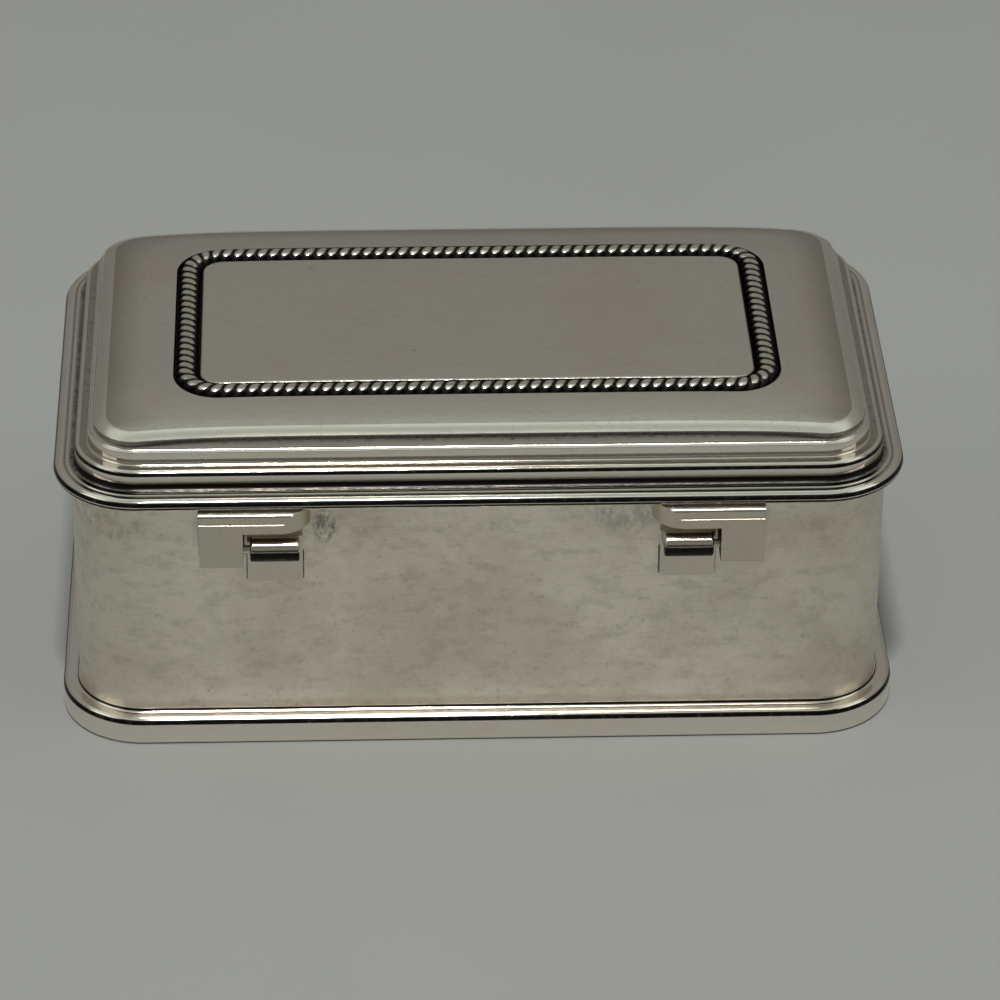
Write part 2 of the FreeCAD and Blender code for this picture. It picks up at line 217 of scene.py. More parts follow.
def add_floor():
    """A square of floor, level with the box's foot."""
    half = FLOOR_HALF_M
    corners = [(-half, -half, 0.0), (half, -half, 0.0), (half, half, 0.0), (-half, half, 0.0)]
    mesh = bpy.data.meshes.new("floor")
    mesh.from_pydata(corners, [], [(0, 1, 2, 3)])
    floor = bpy.data.objects.new("floor", mesh)
    bpy.context.scene.collection.objects.link(floor)
    material, tree, shader = new_material("pale_floor")
    cloudy = noise(tree, 9.0, detail=3.0)
    darker = tuple(v * 0.97 for v in FLOOR_COLOUR)
    wire(tree, mix_colour(tree, ramp(tree, cloudy, 0.3, 0.7), darker, FLOOR_COLOUR), shader, "Base Color")
    shader.inputs["Roughness"].default_value = 0.6
    shader.inputs["Specular IOR Level"].default_value = 0.2
    mesh.materials.append(material)
    return floor


def add_world():
    """The world's colour goes by height. Towards +Y, the camera's side, it is dark near the horizon and
    dim half way up, but not between, so that the top keeps its light when it is seen from the front."""
    world = bpy.data.worlds.new("studio")
    bpy.context.scene.world = world
    world.use_nodes = True
    tree = world.node_tree
    direction = tree.nodes.new("ShaderNodeTexCoord").outputs["Generated"]
    parts = add_node(tree, "ShaderNodeSeparateXYZ", Vector=direction)
    sideways, towards, height = (parts.outputs[axis] for axis in "XYZ")
    sky = mix_colour(tree, ramp(tree, height, 0.35, 0.68), SKY_LOW, SKY_MIDDLE)
    sky = mix_colour(tree, ramp(tree, height, 0.76, 0.84), sky, SKY_BRIGHT)
    sky = mix_colour(tree, ramp(tree, height, 0.89, 0.98), sky, SKY_TOP)
    facing = ramp(tree, towards, 0.16, 0.26)
    sideways = calculate(tree, "ABSOLUTE", sideways, 0.0)
    half_way = calculate(tree, "MULTIPLY", ramp(tree, height, 0.62, 0.68), ramp(tree, height, 0.84, 0.90, 1.0, 0.0))
    dim = calculate(tree, "MULTIPLY", half_way, ramp(tree, sideways, 0.40, 0.65, 1.0, 0.0))
    dark = calculate(tree, "MULTIPLY", ramp(tree, height, 0.24, 0.32, 1.0, 0.0),
                     ramp(tree, sideways, 0.60, 0.90, 1.0, 0.0))
    sky = mix_colour(tree, calculate(tree, "MULTIPLY", dim, facing), sky, SKY_DIM)
    sky = mix_colour(tree, calculate(tree, "MULTIPLY", dark, facing), sky, SKY_DARK)
    background = tree.nodes["Background"]
    tree.links.new(sky, background.inputs["Color"])
    background.inputs["Strength"].default_value = 1.0
    return world


floor = add_floor()
add_world()

# %% Lamps


def add_lamp(name, place_mm, size_mm, power, colour=(1.0, 1.0, 1.0), aim_mm=(0.0, 0.0, 25.0)):
    """A flat rectangular lamp at place, turned to face aim."""
    data = bpy.data.lights.new(name, "AREA")
    data.shape = "RECTANGLE"
    data.size = size_mm[0] * MM
    data.size_y = size_mm[1] * MM
    data.energy = power
    data.color = colour
    lamp = bpy.data.objects.new(name, data)
    place = Vector(place_mm) * MM
    lamp.location = place
    lamp.rotation_mode = "QUATERNION"
    lamp.rotation_quaternion = (Vector(aim_mm) * MM - place).to_track_quat("-Z", "Y")
    bpy.context.scene.collection.objects.link(lamp)
    return lamp


for side in (-1, 1):
    add_lamp("side_light", (side * 1100.0, 420.0, 1000.0), (900.0, 700.0), 1.6, (1.0, 0.99, 0.96))
add_lamp("strip_light", (30.0, 520.0, 1400.0), (128.0, 30.0), 12.0)

# %% [markdown]
# ## Surfaces carried round a rounded rectangle
# Every metal piece of this box has the same plan: a rectangle with round corners. A point of the plan is
# a corner's centre plus the corner's radius times a direction, and along a straight side the centre
# slides while the direction stays. So one template of centres and directions serves for every size, and
# a whole surface is that template multiplied out for a list of levels.

# %% The template
LONG_SIDE_STEPS = 72
SHORT_SIDE_STEPS = 40
CORNER_STEPS = 24


def plan_template():
    """Centre signs and directions for points anticlockwise from the middle of the corner at +X +Y."""
    centres = []
    directions = []
    signs = ((1, 1), (-1, 1), (-1, -1), (1, -1))
    for corner, (sign_x, sign_y) in enumerate(signs):
        next_x, next_y = signs[(corner + 1) % 4]
        steps = LONG_SIDE_STEPS if corner % 2 == 0 else SHORT_SIDE_STEPS
        half_turn = np.radians(np.linspace(45, 90, CORNER_STEPS // 2 + 1) + 90 * corner)
        slide = np.linspace(0, 1, steps + 1)[1:-1]
        next_turn = np.radians(np.linspace(0, 45, CORNER_STEPS // 2 + 1)[:-1] + 90 * (corner + 1))
        angles = np.r_[half_turn, np.full(len(slide), half_turn[-1]), next_turn]
        first = np.tile((sign_x, sign_y), (len(half_turn), 1))
        sliding = np.outer(1 - slide, (sign_x, sign_y)) + np.outer(slide, (next_x, next_y))
        last = np.tile((next_x, next_y), (len(next_turn), 1))
        centres.append(np.r_[first, sliding, last])
        directions.append(np.c_[np.cos(angles), np.sin(angles)])
    return np.vstack(centres), np.vstack(directions)


CENTRES, DIRECTIONS = plan_template()
ROUND = len(CENTRES)
print("points round the plan:", ROUND)


def plan_points(half_x, half_y, radius):
    """x and y of the template's points for each level: (half - radius) * centre + radius * direction."""
    half_x, half_y, radius = (np.atleast_1d(v).astype(float)[:, None] for v in (half_x, half_y, radius))
    x = (half_x - radius) * CENTRES[:, 0] + radius * DIRECTIONS[:, 0]
    y = (half_y - radius) * CENTRES[:, 1] + radius * DIRECTIONS[:, 1]
    return x, y


# %% [markdown]
# A grid of points becomes a mesh in one go. The flat arrays of corner numbers are built with numpy and
# handed to Blender with foreach_set. A ring closes on itself both ways. A cover closes at both ends with
# a patch that fills the last line of points: its inner points are a blend of the four sides, the rule
# that is known as a Coons patch. The same grid gives the UV map: the way round the box and the way
# across the profile, both in metres.

# %% From grid to mesh


def patch_numbers(ring_numbers, first_free):
    """Numbers of the patch's points as a table: the ring on its four edges, new numbers inside."""
    wide = LONG_SIDE_STEPS + CORNER_STEPS
    tall = SHORT_SIDE_STEPS + CORNER_STEPS
    table = np.zeros((tall + 1, wide + 1), int)
    looped = np.r_[ring_numbers, ring_numbers[:1]]
    table[tall, ::-1] = looped[:wide + 1]
    table[::-1, 0] = looped[wide:wide + tall + 1]
    table[0, :] = looped[wide + tall:2 * wide + tall + 1]
    table[:, wide] = looped[2 * wide + tall:]
    inside = np.arange((tall - 1) * (wide - 1)).reshape(tall - 1, wide - 1)
    table[1:-1, 1:-1] = inside + first_free
    return table


def fill_patch(table, points):
    """Points inside a table whose edges are known: across + along - the corners' own blend."""
    rows, columns = table.shape
    v = np.linspace(0, 1, rows)[:, None, None]
    u = np.linspace(0, 1, columns)[None, :, None]
    left, right = points[table[:, 0]][:, None], points[table[:, -1]][:, None]
    low, high = points[table[0]][None], points[table[-1]][None]
    across = (1 - u) * left + u * right
    along = (1 - v) * low + v * high
    corners = ((1 - u) * (1 - v) * points[table[0, 0]] + u * (1 - v) * points[table[0, -1]]
               + (1 - u) * v * points[table[-1, 0]] + u * v * points[table[-1, -1]])
    return across + along - corners


def signed_volume(points, quads):
    """Volume enclosed by the quads: the sum of a . (b x c) / 6 over two triangles of each."""
    a, b, c, d = (points[quads[:, k]] for k in range(4))
    first = np.einsum("ij,ij->i", a, np.cross(b, c))
    second = np.einsum("ij,ij->i", a, np.cross(c, d))
    return float((first + second).sum() / 6)


def build_mesh(name, points, quads, uv, values=None, sharp_degrees=40.0):
    """Mesh from points in millimetres, quads, a UV pair for each corner of each quad, and named values
    for each point. Quads are turned round if the volume comes out negative."""
    if signed_volume(points, quads) < 0:
        quads = quads[:, ::-1]
        uv = uv[:, ::-1]
    mesh = bpy.data.meshes.new(name)
    mesh.vertices.add(len(points))
    mesh.vertices.foreach_set("co", (points * MM).astype(np.float32).ravel())
    mesh.loops.add(quads.size)
    mesh.loops.foreach_set("vertex_index", quads.astype(np.int32).ravel())
    mesh.polygons.add(len(quads))
    mesh.polygons.foreach_set("loop_start", np.arange(0, quads.size, 4, dtype=np.int32))
    mesh.update(calc_edges=True)
    layer = mesh.uv_layers.new(name="way_round")
    layer.data.foreach_set("uv", (uv * MM).astype(np.float32).ravel())
    for label, numbers in (values or {}).items():
        attribute = mesh.attributes.new(label, "FLOAT", "POINT")
        attribute.data.foreach_set("value", np.asarray(numbers, np.float32).ravel())
    mesh.polygons.foreach_set("use_smooth", np.ones(len(quads), bool))
    mesh.set_sharp_from_angle(angle=math.radians(sharp_degrees))
    mesh.validate()
    piece = bpy.data.objects.new(name, mesh)
    bpy.context.scene.collection.objects.link(piece)
    return piece


def grid_quads(rows, columns, start=0, wrap_rows=False):
    """Corner numbers of the quads of a grid that closes on itself along its columns."""
    i = np.arange(rows if wrap_rows else rows - 1)[:, None]
    j = np.arange(columns)[None, :]
    below, beside = (i + 1) % rows, (j + 1) % columns
    corners = (i * columns + j, i * columns + beside, below * columns + beside, below * columns + j)
    return np.stack(np.broadcast_arrays(*corners), -1).reshape(-1, 4) + start


def grid_uv(way_round, way_across):
    """UV pairs for the same quads. Both ways have one more entry than there are quads along them."""
    u0, u1 = way_round[:-1][None, :], way_round[1:][None, :]
    v0, v1 = way_across[:-1][:, None], way_across[1:][:, None]
    pairs = ((u0, v0), (u1, v0), (u1, v1), (u0, v1))
    stacked = [np.stack(np.broadcast_arrays(u, v), -1) for u, v in pairs]
    return np.stack(stacked, -2).reshape(-1, 4, 2)


def ways(points):
    """Length round the plan at each point and length across the profile, both closed, in mm."""
    outer = points[:, :, :2]
    closed = np.concatenate([outer, outer[:, :1]], axis=1)
    steps = np.linalg.norm(np.diff(closed, axis=1), axis=2).max(axis=0)
    looped = np.concatenate([points, points[:1]], axis=0)
    across = np.linalg.norm(np.diff(looped, axis=0), axis=2).mean(axis=1)
    return np.r_[0, np.cumsum(steps)], np.r_[0, np.cumsum(across)]


# %% [markdown]
# ## Profiles
# A moulding is its outline, drawn in inset and height, carried round the plan. On real metal no edge is
# quite sharp, and the thin bright line on a worn edge is what makes it look like metal, so every corner
# of an outline has its own small radius. One more point on each side of the arc keeps the flat faces
# flat in the shading.

# %% Profile helper
HOLD_MM = 0.05      # distance of the extra point from the end of an arc


def profile(corners, finest_mm=0.14):
    """Closed outline through (inset, height, radius) corners. Each corner becomes an arc that starts
    radius * tan(turn / 2) before it and ends as far after it."""
    spots = np.array([corner[:2] for corner in corners], float)
    points = []
    for index, (_, _, radius) in enumerate(corners):
        here = spots[index]
        back = spots[index - 1] - here
        ahead = spots[(index + 1) % len(spots)] - here
        back_length, ahead_length = np.linalg.norm(back), np.linalg.norm(ahead)
        back, ahead = back / back_length, ahead / ahead_length
        turn = math.pi - math.acos(max(-1.0, min(1.0, float(back @ ahead))))
        reach = radius * math.tan(turn / 2)
        if radius <= 0.0 or turn < 1e-3:
            points.append(here)
            continue
        centre = here + (back + ahead) / np.linalg.norm(back + ahead) * radius / math.cos(turn / 2)
        steps = max(4, int(math.ceil(radius * turn / finest_mm)))
        start, end = here + back * reach - centre, here + ahead * reach - centre
        share = np.linspace(0, 1, steps + 1)[:, None]
        arc = (np.sin((1 - share) * turn) * start + np.sin(share * turn) * end) / math.sin(turn)
        if back_length > reach + 2 * HOLD_MM:
            points.append(here + back * (reach + HOLD_MM))
        points.extend(centre + arc)
        if ahead_length > reach + 2 * HOLD_MM:
            points.append(here + ahead * (reach + HOLD_MM))
    return np.array(points)


# %% [markdown]
# The black goes by which way a profile faces: cloths polish what faces up and out, and the lower flank of
# each bead is black, partly patina that the cloths left and partly a painted dark reflection of the room
# on the camera's side. The angle of the outline's outward normal comes from the points on both sides.

# %% Facing


def facing(outline):
    """Angle of the outward normal above the horizontal, in degrees, at each point of a closed outline.
    With a and z the steps along the outline in inset and height, the outward normal is (z, -a) turned by
    the outline's sense."""
    step = np.roll(outline, -1, axis=0) - np.roll(outline, 1, axis=0)
    ahead = np.roll(outline, -1, axis=0)
    area = (outline[:, 0] * ahead[:, 1] - ahead[:, 0] * outline[:, 1]).sum()
    normal = np.stack([step[:, 1], -step[:, 0]], -1) * np.sign(area)
    return np.degrees(np.arctan2(normal[:, 1], -normal[:, 0]))


def flank(outline, lowest, highest, fade=7.0):
    """1 where the outline faces between two angles, fading to 0 beyond them."""
    angle = facing(outline)
    return np.clip((angle - lowest) / fade + 1, 0, 1) * np.clip((highest - angle) / fade + 1, 0, 1)


# %% [markdown]
# ## Sizes
# The plan's outer size comes from the frame. The profile sizes are the ones that the solids have, in
# millimetres, measured inward from the outer line and upward from the table.

# %% Sizes
rim_low, rim_high = (np.array(corner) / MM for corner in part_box("lid_rim"))
HALF_LENGTH = float(rim_high[0])
HALF_DEPTH = float(rim_high[1] - rim_low[1]) / 2
PLAN_MIDDLE_Y = float(rim_high[1] + rim_low[1]) / 2     # the hinges shift the origin from the middle
SEAM = float(rim_low[2])
COVER_TOP = float(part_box("lid_cover")[1][2]) / MM
WALL_LOW, WALL_TOP = (float(corner[2]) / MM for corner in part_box("body_wall"))
CORNER = 11.0
WALL_INSET = 2.25
WALL_THICKNESS = 1.2
print("plan:", round(2 * HALF_LENGTH, 2), "x", round(2 * HALF_DEPTH, 2), "middle y", round(PLAN_MIDDLE_Y, 3),
      "seam", round(SEAM, 2), "top", round(COVER_TOP, 2))


def carried(name, outline, values=None, ripple=None):
    """Closed moulding: the outline's insets and heights carried round the plan. ripple moves each
    point outward by a small amount."""
    inset, height = outline[:, 0], outline[:, 1]
    x, y = plan_points(HALF_LENGTH - inset, HALF_DEPTH - inset, CORNER - inset)
    z = np.broadcast_to(height[:, None], x.shape)
    points = np.stack([x, y, z], -1)
    if ripple is not None:
        points[:, :, :2] += ripple(points)[:, :, None] * DIRECTIONS
    points[:, :, 1] += PLAN_MIDDLE_Y
    round_way, across_way = ways(points)
    quads = grid_quads(len(outline), ROUND, wrap_rows=True)
    spread = {label: np.repeat(numbers, ROUND) for label, numbers in (values or {}).items()}
    return build_mesh(name, points.reshape(-1, 3), quads, grid_uv(round_way, across_way), spread)


# %% Body pieces
BASE_HEIGHT = 3.85
BASE_SHOULDER = 0.8
BASE_FOOT = 0.5
BASE_STEP_HEIGHT = 0.45
BASE_STEP_WIDTH = 0.65
EDGE = 0.08         # rounding of small worn edges
# The lower flanks are painted black: partly patina, partly a painted dark reflection.
BLACK_FLANK = 0.62  # how black the lower flanks of the beads are


def wave(points, length_mm, depth_mm, seed):
    """Gentle unevenness of hand-finished sheet: a sum of a few sine waves in seeded directions."""
    rng = np.random.default_rng(seed)
    total = np.zeros(points.shape[:-1])
    for _ in range(6):
        way = rng.normal(size=3)
        way *= 2 * math.pi / (length_mm * rng.uniform(0.7, 1.6)) / np.linalg.norm(way)
        total += np.sin(points @ way + rng.uniform(0, 2 * math.pi))
    return total * depth_mm / 6


def make_wall():
    """Band of sheet: outer face, rounded top edge, inner face."""
    steps = np.arange(WALL_LOW + 1.0, WALL_TOP - 1.0, 1.1)
    outer = np.c_[np.full(len(steps), WALL_INSET), steps]
    inset_inner = WALL_INSET + WALL_THICKNESS
    edge = profile([(WALL_INSET, WALL_TOP, 0.2), (inset_inner, WALL_TOP, 0.1),
                    (inset_inner, WALL_LOW, 0.0), (WALL_INSET, WALL_LOW, 0.0)])
    outline = np.vstack([outer, edge])
    wall = carried("wall", outline, ripple=lambda p: wave(p, 34.0, 0.09, 11) - 0.03)
    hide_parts("body_wall")
    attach(wall, "body")
    return wall


def make_base():
    """Foot moulding: small lower edge, upright face, round shoulder, ledge and a hollow up to the wall."""
    step = WALL_INSET - BASE_STEP_WIDTH + BASE_STEP_HEIGHT
    outline = profile([
        (WALL_INSET, 0.0, 0.0),
        (0.0, 0.0, BASE_FOOT),
        (0.0, BASE_HEIGHT, BASE_SHOULDER),
        (step, BASE_HEIGHT, BASE_STEP_HEIGHT * 0.98),
        (step, BASE_HEIGHT + BASE_STEP_HEIGHT, 0.0),
        (WALL_INSET, BASE_HEIGHT + BASE_STEP_HEIGHT, 0.0),
    ])
    shoulder = outline[:, 1] > BASE_HEIGHT - BASE_SHOULDER
    # Painted dark reflection, with some patina: the shoulder is black where it faces 4 to 42 degrees up.
    base = carried("base", outline, {"patina_and_painted_dark": BLACK_FLANK * flank(outline, 4, 42) * shoulder})
    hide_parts("base_moulding")
    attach(base, "body")
    return base


wall = make_wall()
base = make_base()
print("wall:", len(wall.data.polygons), "faces, base:", len(base.data.polygons), "faces")

# %% Lid mouldings
RIM_BEAD = 0.95
RIM_GROOVE_INSET = 1.45
RIM_GROOVE_DEPTH = 0.15
RIM_LEDGE_INSET = 1.7
RIM_HOLLOW = 0.73
SKIRT_INSET = 2.9
SKIRT_THICKNESS = 0.6
STEP_OVERHANG = 0.15
STEP_FACE = 1.15
STEP_RADIUS = 0.65
COVE = 1.2
COVER_THICKNESS = 0.9
STEP_FILLET = 0.4
RIM_TOP = SEAM + 2 * RIM_BEAD
LEDGE_HEIGHT = RIM_TOP - RIM_GROOVE_DEPTH / 5
HOLLOW_TOP = LEDGE_HEIGHT + RIM_HOLLOW
STEP_INSET = SKIRT_INSET - STEP_OVERHANG
STEP_LOW = HOLLOW_TOP + STEP_OVERHANG
STEP_TOP = STEP_LOW + STEP_FACE + STEP_RADIUS
COVER_INSET = STEP_INSET + STEP_RADIUS + COVE
COVER_FOOT = STEP_TOP + COVE


def make_rim():
    """Half-round bead, fine line, ledge and the hollow that runs up to the second bead."""
    outline = profile([
        (SKIRT_INSET, SEAM, 0.0),
        (0.0, SEAM, RIM_BEAD),
        (0.0, RIM_TOP, RIM_BEAD * 0.98),
        (RIM_GROOVE_INSET, RIM_TOP - RIM_GROOVE_DEPTH, 0.05),
        (RIM_LEDGE_INSET, LEDGE_HEIGHT, 0.06),
        (SKIRT_INSET, LEDGE_HEIGHT, RIM_HOLLOW * 0.98),
        (SKIRT_INSET, HOLLOW_TOP, 0.0),
    ])
    black = np.interp(outline[:, 0], (RIM_LEDGE_INSET, 2.1, 2.6, 2.75), (0.0, 0.42, 0.5, 1.0))
    groove = 0.4 * (np.abs(outline[:, 0] - RIM_GROOVE_INSET) < 0.12)
    upper = outline[:, 1] > SEAM + RIM_BEAD
    # Painted shade and dark reflection, with some patina: the rim bead is black from 28 degrees below level to 40
    # above, over the shaded gap to the wall.
    bead = flank(outline, -28, 40) * (outline[:, 0] < RIM_BEAD)
    patina_and_painted_dark = np.maximum(np.maximum(black, groove) * upper, BLACK_FLANK * bead)
    rim = carried("rim", outline, {"patina_and_painted_dark": patina_and_painted_dark})
    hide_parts("lid_rim")
    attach(rim, "lid")
    return rim


def make_lid_steps():
    """Second bead, cove and the skirt that goes down inside the rim."""
    inner = COVER_INSET + COVER_THICKNESS
    web = HOLLOW_TOP + SKIRT_THICKNESS
    outline = profile([
        (SKIRT_INSET, SEAM, 0.0),
        (SKIRT_INSET, HOLLOW_TOP, 0.0),
        (STEP_INSET, STEP_LOW, 0.06),
        (STEP_INSET, STEP_TOP, STEP_RADIUS),
        (COVER_INSET, STEP_TOP, STEP_FILLET),
        (COVER_INSET, COVER_FOOT, 0.0),
        (inner, COVER_FOOT, 0.0),
        (inner, web, 0.0),
        (SKIRT_INSET + SKIRT_THICKNESS, web, 0.0),
        (SKIRT_INSET + SKIRT_THICKNESS, SEAM, EDGE),
    ])
    under = np.clip((STEP_LOW + 0.12 - outline[:, 1]) / 0.1, 0, 1)
    ledge = (np.abs(outline[:, 1] - STEP_TOP) < 0.03) & (outline[:, 0] > STEP_INSET + STEP_RADIUS)
    on_bead = (outline[:, 0] < STEP_INSET + STEP_RADIUS) & (outline[:, 1] > STEP_TOP - STEP_RADIUS - 0.02)
    # Painted dark reflection, with some patina: the second bead is black where it faces 4 to 42 degrees up.
    bead = BLACK_FLANK * flank(outline, 4, 42) * on_bead
    steps = carried("lid_steps", outline, {"patina_and_painted_dark": np.maximum(np.maximum(under, 0.38 * ledge), bead)})
    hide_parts("lid_frame")
    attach(steps, "lid")
    return steps


rim = make_rim()
lid_steps = make_lid_steps()

# %% [markdown]
# ## The cover
# The cover is one sheet. Its foot is a short upright band that ends in an edge. From there it sweeps in
# and up as a leaning side, and a bevel leads over to the top. The top is a gentle
# crown: flat in the middle and falling near the edges, as a sixth power does. The channel for the rope is
# pressed into it. The surface is a list of rings, each with as many points as
# the plan, and the panel inside the channel is filled with a patch. The same rings, let down by the
# sheet's thickness, make the underside.

# %% Cover
CROWN_DROP_X = 1.4
CROWN_DROP_Y = 1.7
CROWN_POWER = 6
CHANNEL_HALF_X = 39.4
CHANNEL_HALF_Y = 19.45
CHANNEL_CORNER = 6.0
CHANNEL_WIDTH = 3.25
CHANNEL_SINK = 1.4
CHANNEL_FLOOR_THICKNESS = 0.7
MOUTH_OUTER = 0.16      # rounding where the channel meets the margin
MOUTH_INNER = 0.4      # and where it meets the panel
CHANNEL_FLOOR = COVER_TOP - CHANNEL_SINK
BEVEL_START = 6.9           # inset where the bevel begins
BEVEL_WIDTH = 1.45
BEVEL_SLOPES = (0.25, 0.60)
SIDE_ANGLE = math.radians(29)
FLARE_INSET = 5.09          # where the leaning side starts to flare
FLARE_HEIGHT = COVER_FOOT + 0.94
FLARE_ANGLE = math.radians(8)
LIP_ANGLE = math.radians(62)
BAND_TOP = COVER_FOOT + 0.62    # of the upright band at the foot


def crown(x, y):
    """Height of the cover: its top less drop * (distance from the middle / half size) ** power, for the
    two directions."""
    along = CROWN_DROP_X * (np.abs(x) / (HALF_LENGTH - COVER_INSET)) ** CROWN_POWER
    across = CROWN_DROP_Y * (np.abs(y) / (HALF_DEPTH - COVER_INSET)) ** CROWN_POWER
    return COVER_TOP - along - across


def plan_ring(inset):
    x, y = plan_points(HALF_LENGTH - inset, HALF_DEPTH - inset, CORNER - inset)
    return np.stack([x[0], y[0]], -1)


def channel_ring(offset):
    """Ring that runs offset inside the channel's outer line."""
    radius = max(CHANNEL_CORNER - offset, 0.05)
    x, y = plan_points(CHANNEL_HALF_X - offset, CHANNEL_HALF_Y - offset, radius)
    return np.stack([x[0], y[0]], -1)


def with_height(ring, height):
    return np.c_[ring, np.broadcast_to(height, len(ring))]


def on_crown(ring, lowered=0.0):
    return with_height(ring, crown(ring[:, 0], ring[:, 1]) - lowered)


def at_inset(inset, height):
    """Ring at an inset and a height that may differ from point to point."""
    away = CORNER - np.broadcast_to(inset, (ROUND,))
    x = (HALF_LENGTH - CORNER) * CENTRES[:, 0] + away * DIRECTIONS[:, 0]
    y = (HALF_DEPTH - CORNER) * CENTRES[:, 1] + away * DIRECTIONS[:, 1]
    return np.c_[x, y, np.broadcast_to(height, (ROUND,))]


def sweep(start, start_angle, end, end_angle, steps):
    """Points in inset and height from start to end, along a curve that leaves and arrives with given
    surface angles above the horizon. It is a cubic: (2t^3 - 3t^2 + 1) start + (t^3 - 2t^2 + t) way out +
    (3t^2 - 2t^3) end + (t^3 - t^2) way in."""
    start, end = (np.stack(np.broadcast_arrays(*spot, np.zeros(ROUND))[:2]) for spot in (start, end))
    reach = np.linalg.norm(end - start, axis=0)
    ways_ = [np.array([-math.sin(angle), -math.cos(angle)])[:, None] * reach for angle in (start_angle, end_angle)]
    spots = []
    for t in np.linspace(0, 1, steps + 1)[1:]:
        spots.append((2 * t ** 3 - 3 * t ** 2 + 1) * start + (t ** 3 - 2 * t ** 2 + t) * ways_[0]
                     + (3 * t ** 2 - 2 * t ** 3) * end + (t ** 3 - t ** 2) * ways_[1])
    return spots


def side_rings():
    """Rings from the top's edge down to the foot: a bevel that bends from one slope to a steeper one, the
    leaning side, the flare and the upright band. Slopes are falls per millimetre outward."""
    start_height = crown(*plan_ring(BEVEL_START).T)
    out = np.linspace(0, BEVEL_WIDTH, 9)
    falls = BEVEL_SLOPES[0] * out + (BEVEL_SLOPES[1] - BEVEL_SLOPES[0]) * out ** 2 / (2 * BEVEL_WIDTH)
    rings = [at_inset(BEVEL_START - step, start_height - fall) for step, fall in zip(out, falls)]
    inset = BEVEL_START - BEVEL_WIDTH
    side = sweep((inset, start_height - falls[-1]), SIDE_ANGLE, (FLARE_INSET, FLARE_HEIGHT), FLARE_ANGLE, 8)
    flare = sweep((FLARE_INSET, FLARE_HEIGHT), FLARE_ANGLE, (COVER_INSET + 0.08, BAND_TOP), LIP_ANGLE, 8)
    rings += [at_inset(*spot) for spot in side + flare]
    foot = [(0.03, BAND_TOP - 0.03), (0.0, BAND_TOP - 0.1), (0.0, COVER_FOOT + 0.3), (0.0, COVER_FOOT)]
    return rings + [at_inset(COVER_INSET + more, height) for more, height in foot]


def between(first, last, shares):
    """Rings in between two flat rings, laid on the crown."""
    return [(1 - share) * first + share * last for share in shares]


def mouth_rings(offset, radius, inward, steps=6):
    """Rounded mouth of the channel: a quarter turn from the crown down to the channel's wall. inward is
    1 at the outer wall and -1 at the inner one."""
    rings = []
    for angle in np.linspace(0, math.pi / 2, steps + 1):
        ring = channel_ring(offset - inward * radius * (1 - math.sin(angle)))
        rings.append(on_crown(ring, radius * (1 - math.cos(angle))))
    return rings


def cover_rings():
    """All rings of the cover from the panel's edge outward over the top, down the side and back under.
    With each goes how black it is, from 0 to 1: patina in the channel, a margin darker towards the
    crease, and painted shade on the side below the bevel."""
    margin_shares = [0.02, 0.06, 0.12, 0.2, 0.3, 0.4, 0.5, 0.6, 0.7, 0.8, 0.88, 0.94, 0.98]
    side = side_rings()
    mouth_outer = mouth_rings(0.0, MOUTH_OUTER, 1)
    mouth_inner = mouth_rings(CHANNEL_WIDTH, MOUTH_INNER, -1)
    margin = [on_crown(ring) for ring in between(side[0][:, :2], mouth_outer[0][:, :2], margin_shares)]
    floor_offsets = (0.0, 0.06, 0.8, 1.6, 2.4, CHANNEL_WIDTH - 0.06, CHANNEL_WIDTH)
    floor = [with_height(channel_ring(offset), CHANNEL_FLOOR) for offset in floor_offsets]
    hold_inner = on_crown(channel_ring(CHANNEL_WIDTH + MOUTH_INNER + 0.08))
    top = [(hold_inner, 0.0)]
    black_inner = np.linspace(0, 1, len(mouth_inner)) ** 0.8
    top += list(zip(mouth_inner, black_inner))
    top += [(ring, 1.0) for ring in reversed(floor)]
    top += list(zip(reversed(mouth_outer), reversed(np.linspace(0, 1, len(mouth_outer)) ** 0.4)))
    # The margin is darker towards the crease, by up to 0.36.
    to_crease_darker = [0.36 * max(0.0, (0.6 - share) / 0.6) for share in margin_shares]
    top += list(zip(reversed(margin), reversed(to_crease_darker)))
    # Painted shade: the rings just below the bevel and down the leaning side are darkened, up to 0.46, which dims
    # their highlights and reflections.
    darkening = np.interp(np.arange(len(side)), (0, 8, 9, 12, 16, 18, len(side) - 1), (0, 0.1, 0.46, 0.40, 0.2, 0, 0))
    top += list(zip(side, darkening))
    under_edge = plan_ring(COVER_INSET + COVER_THICKNESS)
    press_outer = channel_ring(-COVER_THICKNESS)
    press_inner = channel_ring(CHANNEL_WIDTH + COVER_THICKNESS)
    press_low = CHANNEL_FLOOR - CHANNEL_FLOOR_THICKNESS
    under = [with_height(under_edge, COVER_FOOT)]
    under += [on_crown(ring, COVER_THICKNESS) for ring in between(under_edge, press_outer, (0.05, 0.3, 0.6, 1.0))]
    under += [with_height(press_outer, press_low), with_height(press_inner, press_low)]
    under += [on_crown(press_inner, COVER_THICKNESS)]
    return top + [(ring, 0.0) for ring in under]


